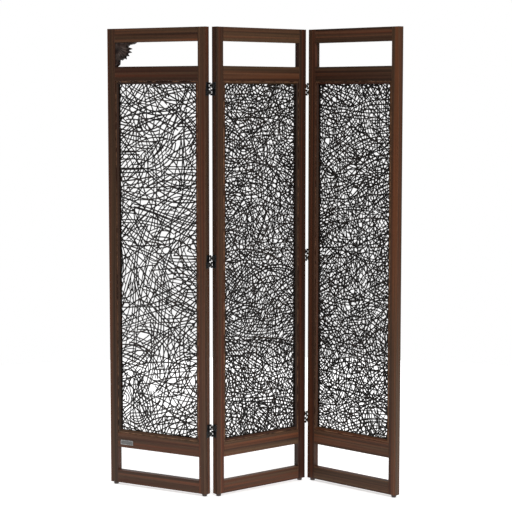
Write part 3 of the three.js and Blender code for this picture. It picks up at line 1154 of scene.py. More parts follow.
def strand_tree() -> NodeTree:
    """Sweeps flat oval strands along paths that lie about level.

    Returns:
        The geometry tree, with the strand's width, thickness, sides and material as inputs.
    """
    graph, given, out = new_group("cane_strands", "GeometryNodeTree", {
        "Paths": ("NodeSocketGeometry", None),
        "Strand Width": ("NodeSocketFloat", 0.003),
        "Strand Thickness": ("NodeSocketFloat", 0.0015),
        "Sides": ("NodeSocketInt", 6),
        "Finish": ("NodeSocketMaterial", None),
    }, {"Strands": "NodeSocketGeometry"})
    curve = graph.add("GeometryNodeMeshToCurve", {"Mesh": given.outputs["Paths"]}).outputs[0]
    curve = graph.add("GeometryNodeSetCurveNormal", {"Curve": curve}, mode="Z_UP").outputs[0]
    round_shape = {"Resolution": given.outputs["Sides"], "Radius": 0.5}
    ring = graph.add("GeometryNodeCurvePrimitiveCircle", round_shape)
    section = graph.add("ShaderNodeCombineXYZ", {
        0: given.outputs["Strand Width"], 1: given.outputs["Strand Thickness"], 2: 1.0,
    })
    flat = graph.add("GeometryNodeTransform", {"Geometry": ring.outputs[0], "Scale": section.outputs[0]})
    gauge = graph.add("GeometryNodeInputNamedAttribute", {"Name": GAUGE}, data_type="FLOAT")
    swept = graph.add("GeometryNodeCurveToMesh", {
        "Curve": curve, "Profile Curve": flat.outputs[0], "Scale": gauge.outputs[0], "Fill Caps": True,
    })
    smooth = graph.add("GeometryNodeSetShadeSmooth", {"Geometry": swept.outputs[0]}).outputs[0]
    graph.feed(out, {"Strands": graph.dressed(smooth, given.outputs["Finish"])})
    return graph.tree


def with_nodes(piece: bpy.types.Object, tree: NodeTree, values: dict[str, object]) -> Mesh:
    """Runs a geometry tree on an object and gives the plain mesh.

    Args:
        piece: The object, which is removed.
        tree: The geometry tree.
        values: The tree's inputs, by name.

    Returns:
        The result as a mesh.
    """
    sockets = {s.name: s.identifier for s in tree.interface.items_tree if s.in_out == "INPUT"}
    modifier = piece.modifiers.new("made", "NODES")
    modifier.node_group = tree
    for label, value in values.items():
        modifier[sockets[label]] = value
    return settled(piece)


@dataclass(frozen=True)
class Weave:
    """How one panel's cane is woven.

    Attributes:
        density: Length of strand for each square metre.
        curly: Share of the strands that curl tightly.
        seed: Seed of the random strands.
    """

    density: float
    curly: float
    seed: int


class Crowding:
    """Counts how much strand lies in each small square of a field, in each direction."""

    def __init__(self, half: np.ndarray, cell: float = 0.006, directions: int = 8, refine: int = 3) -> None:
        """Starts an empty field.

        Args:
            half: Half the field's width and height.
            cell: Side of a square.
            directions: Number of directions that are told apart.
            refine: Points looked at for each point of a line.
        """
        self.half = half
        self.cell = cell
        self.directions = directions
        self.refine = refine
        across, up = (int(2 * h / cell) + 3 for h in half)
        self.counts = np.zeros((directions, across, up))

    def cells(self, line: np.ndarray) -> tuple[np.ndarray, ...]:
        """Direction and square at many points of a line, for the points that lie in the field."""
        ends = np.arange(len(line))
        fine = np.linspace(0, len(line) - 1, self.refine * (len(line) - 1) + 1)
        line = np.stack([np.interp(fine, ends, line[:, axis]) for axis in (0, 1)], 1)
        spot = ((line + self.half) / self.cell).astype(int) + 1
        way = np.gradient(line, axis=0)
        turn = np.arctan2(way[:, 1], way[:, 0]) % math.pi
        kind = np.minimum((turn / math.pi * self.directions).astype(int), self.directions - 1)
        held = np.all(np.abs(line) < self.half, axis=1)
        return kind[held], spot[held, 0], spot[held, 1]

    def cost(self, line: np.ndarray) -> float:
        """How crowded a line's own way is, with strands in its direction counting most."""
        own_direction = 4.0
        kind, x, y = self.cells(line)
        if len(kind) < 3:
            return math.inf
        own, all_ways = self.counts[kind, x, y], self.counts[:, x, y].sum(axis=0)
        return float(np.mean(own_direction * own ** 2 + all_ways ** 2))

    def add(self, line: np.ndarray) -> None:
        """Counts a line, and half as much beside it."""
        kind, x, y = self.cells(line)
        for dx in (-1, 0, 1):
            for dy in (-1, 0, 1):
                np.add.at(self.counts, (kind, x + dx, y + dy), 1.0 if dx == dy == 0 else 0.5)


@dataclass(frozen=True)
class Wander:
    """How one sort of strand wanders.

    Attributes:
        length: Its shortest and greatest length.
        bend: Spread of its curvature.
        drift: Spread of the change of its curvature along its length.
    """

    length: tuple[float, float]
    bend: float
    drift: float


CURLY = Wander((0.10, 0.30), 11.0, 70.0)
EASY = Wander((0.2, 0.65), 3.4, 16.0)


@dataclass
class WovenField(PanelWork):
    """The random cane weave of one panel.

    Attributes:
        weave: How it is woven.
        width: Mean width of a strand.
        thickness: Mean thickness of a strand.
        slab: Thickness of the whole weave.
        step: Distance between the points of a path.
        tries: Number of ways tried for each strand.
        sides: Faces round a strand.
        margin: How far outside the window a strand's middle may lie.
        gauges: Smallest and greatest width of a strand, as a share of the mean.
        wave: Height of a strand's waves through the weave.
        pitches: Shortest and greatest length of such a wave.
        twin_chances: Chances that a strand has another beside it, and one more.
        twin_gaps: Smallest and greatest distance between neighbours.
    """

    weave: Weave
    width: float = 0.0050
    thickness: float = 0.0018
    slab: float = 0.009
    step: float = 0.011
    tries: int = 40
    sides: int = 6
    margin: float = 0.05
    gauges: tuple[float, float] = (0.78, 1.18)
    wave: float = 0.0011
    pitches: tuple[float, float] = (0.07, 0.16)
    twin_chances: tuple[float, float] = (0.16, 0.06)
    twin_gaps: tuple[float, float] = (0.009, 0.014)

    def path(self, random: np.random.Generator, half: np.ndarray) -> np.ndarray:
        """One strand's wandering line in the window's plane.

        Args:
            random: The random numbers.
            half: Half the window's width and height.

        Returns:
            The points, in order.
        """
        sort = CURLY if random.random() < self.weave.curly else EASY
        length = random.uniform(*sort.length)
        bend = random.normal(0, sort.bend)
        drift = random.normal(0, sort.drift)
        count = int(length / self.step) + 2
        along = np.arange(count) * self.step
        heading = random.uniform(0, 2 * math.pi) + bend * along + drift * along * (along - length) / 2
        start = random.uniform(-1, 1, 2) * (half + self.margin)
        steps = np.stack([np.cos(heading), np.sin(heading)], 1) * self.step
        line = start + np.cumsum(steps, 0)
        return line - (line[count // 2] - start)

    @staticmethod
    def inside(line: np.ndarray, half: np.ndarray) -> list[np.ndarray]:
        """Cuts a line into the stretches of three points or more that lie in the window."""
        kept = np.all(np.abs(line) <= half, axis=1)
        breaks = np.flatnonzero(np.diff(kept.astype(int))) + 1
        return [p for p, k in zip(np.split(line, breaks), np.split(kept, breaks)) if k[0] and len(p) >= 3]

    def paths(self) -> Mesh:
        """All the strands' paths, with x across the window, y up it and z towards the front.

        Returns:
            A mesh of edges, marked with each strand's gauge, tone and run.
        """
        edge_share, face_share, layer_share = 0.6, 0.62, 0.75
        twin_thinning, twin_tone = 0.12, 0.3
        random = np.random.default_rng(self.weave.seed)
        low, high = self.panel.window
        edge = FRAME.gap + self.width * edge_share
        half = np.array([self.panel.opening / 2, (high - low) / 2]) - edge
        wanted = self.weave.density * 4 * half[0] * half[1]
        crowding = Crowding(half)
        lift = self.slab / 2 - self.thickness * face_share
        points, edges = [], []
        marks: dict[str, list] = {GAUGE: [], TONE: [], RUN: []}
        made = 0.0
        while made < wanted:
            line = min((self.path(random, half) for _ in range(self.tries)), key=crowding.cost)
            gauge, tone = random.uniform(*self.gauges), random.random()
            layer, sway = random.uniform(-1, 1) * lift * layer_share, random.uniform(0, 2 * math.pi)
            pitch = random.uniform(*self.pitches)
            twins = 1 + sum(random.random() < chance for chance in self.twin_chances)
            gap = random.uniform(*self.twin_gaps)
            side = np.gradient(line, axis=0)[:, ::-1] * (1, -1)
            side /= np.linalg.norm(side, axis=1)[:, None]
            for twin in range(twins):
                beside = line + side * gap * twin
                crowding.add(beside)
                for piece in self.inside(beside, half):
                    count, first = len(piece), len(points)
                    run = np.arange(count) * self.step
                    waves = layer + self.wave * np.sin(2 * math.pi * run / pitch + sway)
                    points += [(*p, d) for p, d in zip(piece, np.clip(waves, -lift, lift))]
                    edges += [(first + i, first + i + 1) for i in range(count - 1)]
                    marks[GAUGE] += [gauge * (1 - twin_thinning * twin)] * count
                    marks[TONE] += [(tone + twin_tone * twin) % 1] * count
                    marks[RUN] += list(run)
                    made += run[-1]
        mesh = bpy.data.meshes.new("cane_paths")
        mesh.from_pydata(points, edges, [])
        for label, values in marks.items():
            mark(mesh, label, values)
        return mesh

    def build(self, tree: NodeTree) -> None:
        """Makes the weave.

        Args:
            tree: The strands' geometry tree.
        """
        mesh = with_nodes(loose_object(self.paths()), tree, {
            "Strand Width": self.width,
            "Strand Thickness": self.thickness,
            "Sides": self.sides,
            "Finish": CANE_FINISH.make(),
        })
        place = self.panel.window_middle(FRAME.middle) @ STOOD_UP
        self.fit(mesh, place, "weave", "strands", CANE_FINISH, Slot.CANE)


# ---------- feet ----------


@dataclass
class Glides(PanelWork):
    """The two domed glides under a panel.

    Attributes:
        height: Height of the dome.
        radius: Radius of its rim.
        tread: Radius of the flat that it stands on.
        rim: Height of the straight rim.
        soft: Rounding of its upper edge.
        shank: Radius of the nail.
        shank_length: Length of the nail above the rim.
        point: Length of the nail's point.
        steps: Sides of the turned shape.
    """

    height: float = 0.010
    radius: float = 0.0098
    tread: float = 0.0072
    rim: float = 0.002
    soft: float = 0.0004
    shank: float = 0.0016
    shank_length: float = 0.016
    point: float = 0.0035
    steps: int = 48

    def profile(self) -> list[tuple[float, float]]:
        """The glide's section, with z = 0 under the stile."""
        top = -FRAME.gap
        bottom = -self.height
        edge = top - self.rim
        turns = ((self.tread, bottom), (self.radius, bottom), (self.radius, edge))
        low, corner, high = (Vector(turn) for turn in turns)
        dome = [low.lerp(corner, s).lerp(corner.lerp(high, s), s) for s in np.linspace(0, 1, 13)]
        upper = arc((self.radius - self.soft, top - self.soft), self.soft, 0, 90, 3)
        nail = [(self.shank, top), (self.shank, self.shank_length - self.point), (0, self.shank_length)]
        return [(0, bottom), *[(p.x, p.y) for p in dome + upper], *nail]

    def build(self) -> None:
        """Makes both glides."""
        for end in End:
            mesh = lathe(self.profile(), self.steps)
            mark(mesh, PLACE, points_of(mesh) + (0, 0, self.height))
            place = Matrix.Translation((self.panel.stile_x(end) + FRAME.stile / 2, FRAME.middle, 0))
            self.fit(mesh, place, f"{end.value}_foot", "glide", GLIDE_FINISH, Slot.GLIDE)


# ---------- carved corner and plate ----------


@dataclass
class CarvedCorner(PanelWork):
    """The carved leaf in the upper slot's corner.

    Its points are shares of its width to the right and of its height down, from the slot's corner.

    Attributes:
        width: Its width along the rail.
        thickness: Its greatest thickness.
        foot_gap: Gap under its tail.
        swell: How far the blades rise, as a share of half the thickness.
        ground: How far the ground behind them rises, as the same share.
        stem_inset: Distance of the stem's middle from the stile.
        stem_swell: How much deeper the stem is than it is wide.
        voxel: Size of the grid that fuses the blades.
    """

    width: float = 0.097
    thickness: float = 0.012
    foot_gap: float = 0.0017
    swell: float = 2.1
    ground: float = 1.7
    stem_inset: float = 0.0078
    stem_swell: float = 1.75
    voxel: float = 0.0006

    # Each blade: where it springs from, where its point is, its greatest width, and its bend to one side.
    BLADES = (
        ((0.06, 0.06), (0.91, 0.035), 0.12, 0.02),
        ((0.10, 0.10), (0.775, 0.270), 0.18, -0.05),
        ((0.10, 0.16), (0.750, 0.425), 0.18, -0.04),
        ((0.09, 0.22), (0.625, 0.580), 0.18, -0.02),
        ((0.08, 0.28), (0.490, 0.720), 0.18, 0.01),
        ((0.07, 0.34), (0.290, 0.765), 0.16, 0.03),
    )
    # The outline of the ground behind the blades.
    GROUND = (
        (0, 0), (0, 1), (0.04, 1), (0.12, 0.92), (0.135, 0.745), (0.20, 0.73), (0.25, 0.74), (0.33, 0.675),
        (0.40, 0.68), (0.42, 0.59), (0.53, 0.55), (0.50, 0.47), (0.62, 0.41), (0.52, 0.34), (0.64, 0.265),
        (0.50, 0.20), (0.60, 0.10), (0.82, 0.07), (0.93, 0),
    )

    def blade(self, root: Vector, tip: Vector, width: float, bend: float, height: float) -> Mesh:
        """One ridged leaf blade, as thick as it is allowed at its middle.

        Args:
            root: Where it springs from, in metres.
            tip: Its point, in metres.
            width: Its greatest width.
            bend: How far its middle bows to one side.
            height: Its greatest half thickness.

        Returns:
            The mesh, with x to the right, z up and y through it.
        """
        rings, around = 16, 8
        belly, fullness, keenness = 0.75, 0.8, 1.6
        base, taper = 0.35, 4
        line = tip - root
        normal = Vector((-line.y, line.x)).normalized()
        points = []
        for i in range(1, rings):
            s = i / rings
            centre = root + line * s + normal * bend * math.sin(math.pi * s)
            half = width / 2 * math.sin(math.pi * s ** belly) ** fullness
            rise = height * (base + (1 - base) * math.sin(math.pi * min(1, s * 0.8 + 0.1)))
            rise *= min(1.0, (1 - s) * taper) ** 0.5
            for j in range(around):
                turn = 2 * math.pi * j / around
                ridge = abs(math.sin(turn)) ** keenness * math.copysign(1, math.sin(turn))
                spot = centre + normal * half * math.cos(turn)
                points.append((spot.x, -rise * ridge, spot.y))
        levels = numbered_rings(rings - 1, around)
        first, last = len(points), len(points) + 1
        points += [(root.x, 0, root.y), (tip.x, 0, tip.y)]
        ends = [(first, b, a) for a, b in round_pairs(levels[0])]
        ends += [(last, a, b) for a, b in round_pairs(levels[-1])]
        return mesh_from(points, walls(levels) + ends)

    @staticmethod
    def stem(height: float) -> list[tuple[float, float]]:
        """Profile of the turned stem beside the stile, with a bud near its foot.

        Args:
            height: The carving's height.

        Returns:
            Pairs of a radius and a height.
        """
        shares = ((0, 0.04), (0.0028, 0.055), (0.0052, 0.10), (0.0062, 0.15), (0.0052, 0.21), (0.0040, 0.27),
                  (0.0044, 0.5), (0.0056, 0.75), (0.0066, 0.93), (0, 0.98))
        return [(radius, share * height) for radius, share in shares]

    def build(self) -> None:
        """Makes the carving as one fused and smoothed piece."""
        ridge_start, ridge_gain = 0.72, 4
        ground_chamfer, around = 0.0008, 16
        top = self.panel.levels("top_rail")[0] - FRAME.gap
        height = top - self.panel.levels("second_rail")[1] - self.foot_gap
        size = Vector((self.width, -height))
        half = self.thickness / 2
        ground = [Vector((x * size.x, y * size.y)) for x, y in self.GROUND]
        slab = prism(ground, -half * self.ground, half * self.ground, ground_chamfer)
        parts = [moved(slab, Matrix.Rotation(math.pi / 2, 4, "X"))]
        for root, tip, width, bend in self.BLADES:
            start = Vector((root[0] * size.x, root[1] * size.y))
            stop = Vector((tip[0] * size.x, tip[1] * size.y))
            parts.append(self.blade(start, stop, width * self.width, bend * self.width, half * self.swell))
        stem = moved(lathe(self.stem(height), around), Matrix.Scale(self.stem_swell, 4, (0, 1, 0)))
        parts.append(moved(stem, Matrix.Translation((self.stem_inset, 0, -height))))
        piece = loose_object(joined(parts))
        remesh = piece.modifiers.new("fuse", "REMESH")
        remesh.mode = "VOXEL"
        remesh.voxel_size = self.voxel
        smooth = piece.modifiers.new("sand", "SMOOTH")
        smooth.factor = 0.5
        smooth.iterations = 2
        mesh = settled(piece)
        mesh.shade_smooth()
        self.shop.timber(mesh)
        ridge = np.abs(points_of(mesh)[:, 1]) / half
        mark(mesh, EDGE, np.clip((ridge / self.swell - ridge_start) * ridge_gain, 0, 1))
        place = Matrix.Translation((FRAME.stile + FRAME.gap, FRAME.middle, top))
        self.fit(mesh, place, "carved_corner", "leaf", CARVING_FINISH, Slot.CARVING)


@dataclass
class BlankPlate(PanelWork):
    """A small blank plate pinned to the lower rail's front.

    Attributes:
        side_inset: Distance of its end from the stile.
        width: Its width along the rail.
        thickness: Its thickness.
        corner: Radius of its corners.
        chamfer: Chamfer round its rims.
        border: Width of the raised border round its sunk field.
        sink: Depth of the field.
        pin: Radius of a pin's head.
    """

    side_inset: float = 0.014
    width: float = 0.058
    thickness: float = 0.001
    corner: float = 0.0014
    chamfer: float = 0.0002
    border: float = 0.0022
    sink: float = 0.0002
    pin: float = 0.0009

    def build(self) -> None:
        """Makes the plate and its two pins as one piece."""
        low, high = self.panel.levels("blank_plate")
        height = high - low
        depth = self.thickness + FRAME.gap
        outline = rounded_rectangle(self.width, height, self.corner)
        field = rounded_rectangle(self.width - 2 * self.border, height - 2 * self.border, self.corner)
        tight = shrunk(outline, self.chamfer)
        levels = [(tight, 0), (outline, self.chamfer), (outline, depth - self.chamfer), (tight, depth),
                  (field, depth), (shrunk(field, self.sink), depth - self.sink)]
        points = [(p.x, p.y, z) for ring, z in levels for p in ring]
        rings = numbered_rings(len(levels), len(outline))
        parts = [crisp(mesh_from(points, [*walls(rings), list(rings[0]), list(rings[-1])]))]
        reach = self.width / 2 - 2 * self.border
        for x in (-reach, reach):
            head = domed_head(self.pin, self.pin / 2, 16)
            parts.append(moved(head, Matrix.Translation((x, 0, depth - self.sink))))
        mesh = joined(parts)
        mark(mesh, PLACE, points_of(mesh))
        mark_sunk_field(mesh, depth)
        centre = Matrix.Translation((FRAME.stile + self.side_inset + self.width / 2, 0, (low + high) / 2))
        self.fit(mesh, centre @ STOOD_UP, "blank_plate", "pinned", PLATE_FINISH, Slot.PLATE)


def mark_sunk_field(mesh: Mesh, rim: float) -> None:
    """Marks the faces that look along z from just below the rim's level.

    Args:
        mesh: The plate's mesh, still lying flat.
        rim: Level of its raised border.
    """
    tiny = 0.00005
    values = [float(f.normal.z > 0.9 and rim / 2 < f.center.z < rim - tiny) for f in mesh.polygons]
    mark(mesh, TONE, values, "FACE")


# ---------- hinges ----------


def screw_tree() -> NodeTree:
    """Sets one screw at every point, turned to face along the point's own direction.

    Returns:
        The geometry tree, with the screw, the spread of its slots' turns, a seed and a material as inputs.
    """
    graph, given, out = new_group("hinge_screws", "GeometryNodeTree", {
        "Places": ("NodeSocketGeometry", None),
        "Screw": ("NodeSocketObject", None),
        "Slot Turn": ("NodeSocketFloat", 1.5),
        "Seed": ("NodeSocketInt", 3),
        "Finish": ("NodeSocketMaterial", None),
    }, {"Screws": "NodeSocketGeometry"})
    facing = graph.add("GeometryNodeInputNamedAttribute", {"Name": "facing"}, data_type="FLOAT_VECTOR")
    aimed = graph.add("FunctionNodeAlignRotationToVector", {"Vector": facing.outputs[0]}, axis="Z")
    turn = graph.add("FunctionNodeRandomValue", {
        2: 0.0, 3: given.outputs["Slot Turn"], 8: given.outputs["Seed"],
    }, data_type="FLOAT")
    spin = graph.add("FunctionNodeAxisAngleToRotation", {"Axis": (0, 0, 1), "Angle": turn.outputs[1]})
    both = graph.add("FunctionNodeRotateRotation", {
        "Rotation": aimed.outputs[0], "Rotate By": spin.outputs[0],
    }, rotation_space="LOCAL")
    screw = graph.add("GeometryNodeObjectInfo", {"Object": given.outputs["Screw"]})
    copies = graph.add("GeometryNodeInstanceOnPoints", {
        "Points": given.outputs["Places"], "Instance": screw.outputs["Geometry"], "Rotation": both.outputs[0],
    })
    graph.feed(out, {"Screws": graph.dressed(copies.outputs[0], given.outputs["Finish"])})
    return graph.tree


@dataclass(frozen=True)
class HingeSizes:
    """Sizes of one double-action hinge.

    In a leaf's own frame the plate lies on x = 0 and looks along x. Its pins stand at x = offset, the upper
    one at +y and the lower one at -y.

    Attributes:
        height: Height of a leaf.
        leaf_width: Width of a leaf.
        leaf: Thickness of a leaf.
        corner: Radius of a leaf's corners.
        hole: Radius of a screw hole.
        countersink: Radius of its countersink.
        screw_pitch: Distance between neighbouring screws in z.
        screw_stagger: Distance of a screw from the leaf's middle line.
        link: Distance between a link's two pins.
        offset: Distance of the pins from the panel's end face.
        pin: Radius of a pin.
        bore: Radius of a bored knuckle's hole.
        knuckle: Outer radius of a knuckle.
        barrel_inset: How much shorter a half barrel is than a quarter of the leaf.
        strap_height: Height of a link's strap.
        strap: Thickness of a link's strap.
        web: Height of the web between a link's eyes.
        web_inset: Distance of the web from the pins.
        head: Radius of a pin's head.
        head_rise: Height of a pin's head.
        chamfer: Chamfer round the metal's rims.
        steps: Sides of the round parts.
    """

    height: float = 0.050
    leaf_width: float = 0.020
    leaf: float = 0.0014
    corner: float = 0.002
    hole: float = 0.0022
    countersink: float = 0.0036
    screw_pitch: float = 0.016
    screw_stagger: float = 0.0045
    link: float = 0.0277
    offset: float = 0.0046
    pin: float = 0.0012
    bore: float = 0.00134
    knuckle: float = 0.0026
    barrel_inset: float = 0.001
    strap_height: float = 0.008
    strap: float = 0.0018
    web: float = 0.0175
    web_inset: float = 0.0062
    head: float = 0.0019
    head_rise: float = 0.0005
    chamfer: float = 0.00025
    steps: int = 28

    @property
    def pins(self) -> float:
        """Half the distance between a leaf's two pins, which stand at the panel's faces."""
        return FRAME.thickness / 2

    @property
    def barrel(self) -> float:
        """Half the length of one barrel."""
        return self.height / 4 - self.barrel_inset

    @property
    def knuckle_levels(self) -> tuple[float, float]:
        """Distance of a knuckle's near and far ends from the barrel's middle."""
        return self.strap_height / 2 + FRAME.gap, self.barrel


HINGE = HingeSizes()


class HingeParts:
    """Shapes of the leaves and links, each in its own frame."""

    @staticmethod
    def knuckle(low: float, high: float, bored: bool) -> Mesh:
        """One barrel knuckle round the z axis.

        Args:
            low: Its lower end.
            high: Its upper end.
            bored: Whether a pin turns in it.

        Returns:
            The mesh.
        """
        c, r = HINGE.chamfer, HINGE.knuckle
        outside = [(r - c, low), (r, low + c), (r, high - c), (r - c, high)]
        if bored:
            return lathe([(HINGE.bore, low), *outside, (HINGE.bore, high)], HINGE.steps, closed=True)
        return lathe([(0, low), *outside, (0, high)], HINGE.steps)

    @staticmethod
    def ear(side: int, low: float, high: float) -> Mesh:
        """The curled web that carries one knuckle on a leaf.

        Args:
            side: 1 for the upper barrel's side and -1 for the lower one's.
            low: Its lower end.
            high: Its upper end.

        Returns:
            The mesh, in the leaf's frame.
        """
        play, corner = 0.0006, 0.0016
        root, bulge = HINGE.leaf, HINGE.knuckle / 2
        base, crown = HINGE.leaf_width / 2 - root, HINGE.pins + bulge
        outline = [Vector((FRAME.gap, base)), Vector((root + FRAME.gap, base))]
        outline += arc((HINGE.offset, base), HINGE.offset - root - FRAME.gap - play, 180, 97, 5)[1:-1]
        outline += [Vector((HINGE.offset, HINGE.pins - bulge)), Vector((HINGE.offset, crown))]
        outline += arc((FRAME.gap + corner, crown - corner), corner, 90, 180, 4)
        mesh = prism(outline, low, high, HINGE.chamfer)
        return mesh if side > 0 else moved(mesh, Matrix.Scale(-1, 4, (0, 1, 0)))

    @classmethod
    def leaf(cls, lower_bored: bool) -> Mesh:
        """A leaf with its two pairs of knuckles.

        Args:
            lower_bored: Whether a pin turns in its lower barrel.

        Returns:
            The mesh, in the leaf's frame.
        """
        outline = rounded_rectangle(HINGE.leaf_width, HINGE.height, HINGE.corner)
        holes = [(Vector((y, z)), HINGE.hole, HINGE.countersink) for y, z in cls.screw_places()]
        plate = prism(outline, FRAME.gap, FRAME.gap + HINGE.leaf, HINGE.chamfer, holes)
        upright = Matrix(((0, 0, 1, 0), (1, 0, 0, 0), (0, 1, 0, 0), (0, 0, 0, 1)))
        parts = [moved(plate, upright)]
        near, far = HINGE.knuckle_levels
        for side in (1, -1):
            bored = side > 0 or lower_bored
            middle = side * HINGE.height / 4
            pin_place = Matrix.Translation((HINGE.offset, side * HINGE.pins, 0))
            for low, high in ((middle - far, middle - near), (middle + near, middle + far)):
                parts.append(cls.ear(side, low, high))
                parts.append(moved(cls.knuckle(low, high, bored), pin_place))
            if not bored:
                parts += [moved(head, pin_place) for head in cls.heads(middle)]
        return faced_out(joined(parts))

    @staticmethod
    def heads(middle: float) -> list[Mesh]:
        """The domed heads at both ends of a pin whose middle is at a given z."""
        upper, lower = (domed_head(HINGE.head, HINGE.head_rise, HINGE.steps) for _ in range(2))
        moved(upper, Matrix.Translation((0, 0, middle + HINGE.barrel)))
        moved(lower, Matrix.Rotation(math.pi, 4, "X"))
        return [upper, moved(lower, Matrix.Translation((0, 0, middle - HINGE.barrel)))]

    @classmethod
    def link(cls, second_pin: bool) -> Mesh:
        """A link with an eye at each end, its first pin at the origin and its second along x.

        Args:
            second_pin: Whether a pin stands in its second eye.

        Returns:
            The mesh.
        """
        flare, shoulder, relief = 0.0035, 0.0004, 0.0001
        length, radius, waist = HINGE.link, HINGE.knuckle, HINGE.strap / 2
        lean = math.degrees(math.asin((waist + shoulder) / radius))
        outline = arc((length, 0), radius, -180 + lean, 180 - lean, 18)
        outline += [Vector((length - flare, waist)), Vector((flare, waist))]
        outline += arc((0, 0), radius, lean, 360 - lean, 18)
        outline += [Vector((flare, -waist)), Vector((length - flare, -waist))]
        near, far, thin = HINGE.web_inset, length - HINGE.web_inset, waist - relief
        web = [Vector(p) for p in ((near, -thin), (far, -thin), (far, thin), (near, thin))]
        heights = ((outline, HINGE.strap_height / 2), (web, HINGE.web / 2))
        parts = [prism(shape, -half, half, HINGE.chamfer) for shape, half in heights]
        rod = [(0, -HINGE.barrel), (HINGE.pin, -HINGE.barrel), (HINGE.pin, HINGE.barrel), (0, HINGE.barrel)]
        for x in [0, length] if second_pin else [0]:
            pieces = [lathe(rod, HINGE.steps), *cls.heads(0.0)]
            parts += [moved(piece, Matrix.Translation((x, 0, 0))) for piece in pieces]
        return joined(parts)

    @staticmethod
    def screw_places() -> list[tuple[float, float]]:
        """The screws' places on a leaf, as y and z in the leaf's frame."""
        stagger, pitch = HINGE.screw_stagger, HINGE.screw_pitch
        return [(-stagger, -pitch), (stagger, 0.0), (-stagger, pitch)]

    @staticmethod
    def screw() -> Mesh:
        """A countersunk screw with a cross recess, its head's top on z = 0 and looking along z."""
        steps, length, neck = 24, 0.0045, 0.0014
        arm, half_slot, recess, taper = 0.0021, 0.00045, 0.0009, 0.6
        play, edge = 0.0001, 0.0002
        shank, rim = HINGE.hole - 2 * play, HINGE.countersink - play
        cross, corner = [], [(arm, -half_slot), (arm, half_slot), (half_slot, half_slot)]
        for _ in range(4):
            cross += corner
            corner = [(-y, x) for x, y in corner]
        mesh = bpy.data.meshes.new("screw")
        with opened(mesh) as shape:
            levels = [(shank, -length), (shank, -neck), (rim, -edge), (rim - edge, 0.0)]
            rings = [[shape.verts.new((p.x, p.y, z)) for p in circle(r, steps)] for r, z in levels]
            top = [shape.verts.new((x, y, edge)) for x, y in cross]
            floor = [shape.verts.new((x * taper, y * taper, -recess)) for x, y in cross]
            for face in [*walls(rings), *walls((floor, top)), rings[0], floor]:
                shape.faces.new(face)
            rims = [shape.edges.get(pair) for ring in (rings[-1], top) for pair in round_pairs(ring)]
            bmesh.ops.triangle_fill(shape, edges=rims, use_beauty=True)
        return crisp(faced_out(mesh))


@dataclass
class HingeColumn:
    """The three hinges between two neighbouring panels.

    Attributes:
        name: The column's name, left or right.
        left: The panel whose right end carries the left leaves.
        right: The panel whose left end carries the right leaves.
        anchor: The middle panel, which the links are pinned to first.
        shop: Where the hinges are made.
    """

    name: str
    left: Panel
    right: Panel
    anchor: Panel
    shop: Workshop

    LEVELS = ("top", "middle", "bottom")

    def level(self, label: str) -> float:
        """Height of a hinge's middle above the panels' wooden frames."""
        low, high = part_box(f"{self.name}_hinge_{label}_leaf_left")
        return (low.z + high.z) / 2 - self.left.place.translation.z

    def leaf_place(self, panel: Panel, z: float) -> Matrix:
        """The frame of a leaf on one of the two panels."""
        if panel is self.left:
            return panel.place @ Matrix.Translation((panel.width, FRAME.middle, z))
        return panel.place @ Matrix.Translation((0, FRAME.middle, z)) @ Matrix.Rotation(math.pi, 4, "Z")

    def pin_place(self, panel: Panel, upper: bool, z: float) -> Vector:
        """Middle of the upper or lower barrel of a panel's leaf, in the row frame."""
        side = 1 if upper else -1
        return self.leaf_place(panel, z) @ Vector((HINGE.offset, side * HINGE.pins, side * HINGE.height / 4))

    def build(self) -> None:
        """Makes the column's leaves and links."""
        far = self.left if self.anchor is self.right else self.right
        for label in self.LEVELS:
            z = self.level(label)
            stem = f"{self.name}_hinge_{label}"
            for panel, hand in ((self.left, "left"), (self.right, "right")):
                mesh = moved(HingeParts.leaf(panel is self.anchor), self.leaf_place(panel, z))
                self.add(mesh, f"{stem}_leaf_{hand}", panel.name)
            for upper in (True, False):
                start, stop = (self.pin_place(panel, upper, z) for panel in (self.anchor, far))
                heading = math.atan2(stop.y - start.y, stop.x - start.x)
                place = Matrix.Translation(start) @ Matrix.Rotation(heading, 4, "Z")
                mesh = moved(HingeParts.link(upper), place)
                kind = "upper" if upper else "lower"
                self.add(mesh, f"{stem}_{kind}_link", f"{self.name}_{kind}_links")

    def add(self, mesh: Mesh, node: str, body: str) -> None:
        """Fits one hinge piece in place of its node."""
        mark_chamfers(mesh)
        self.shop.fit(mesh, f"{node}_metal", body, HINGE_FINISH, Slot.HINGE, [node])

    def screw_points(self, panel: Panel) -> list[tuple[Vector, Vector]]:
        """Each screw's place and facing on one panel, in the row frame."""
        surface = FRAME.gap + HINGE.leaf
        found = []
        for label in self.LEVELS:
            place = self.leaf_place(panel, self.level(label))
            facing = place.to_3x3() @ Vector((1, 0, 0))
            found += [(place @ Vector((surface, y, z)), facing) for y, z in HingeParts.screw_places()]
        return found


def add_screws(columns: Sequence[HingeColumn], panels: Sequence[Panel], shop: Workshop) -> None:
    """Puts the screws into the hinge leaves, as one piece for each panel.

    Args:
        columns: The hinge columns.
        panels: The panels.
        shop: Where the screws are made.
    """
    tree = screw_tree()
    master = loose_object(HingeParts.screw(), "screw_master")
    for panel in panels:
        found = [p for c in columns if panel in (c.left, c.right) for p in c.screw_points(panel)]
        mesh = bpy.data.meshes.new("screw_points")
        mesh.from_pydata([place for place, _ in found], [], [])
        mark(mesh, "facing", [tuple(facing) for _, facing in found])
        made = with_nodes(loose_object(mesh), tree, {
            "Screw": master, "Slot Turn": math.pi / 2, "Seed": 3, "Finish": HINGE_FINISH.make(),
        })
        mark_chamfers(made)
        shop.fit(made, f"{panel.name}_hinge_screws", panel.name, HINGE_FINISH, Slot.HINGE)
    bpy.data.objects.remove(master)


# ---------- studio ----------


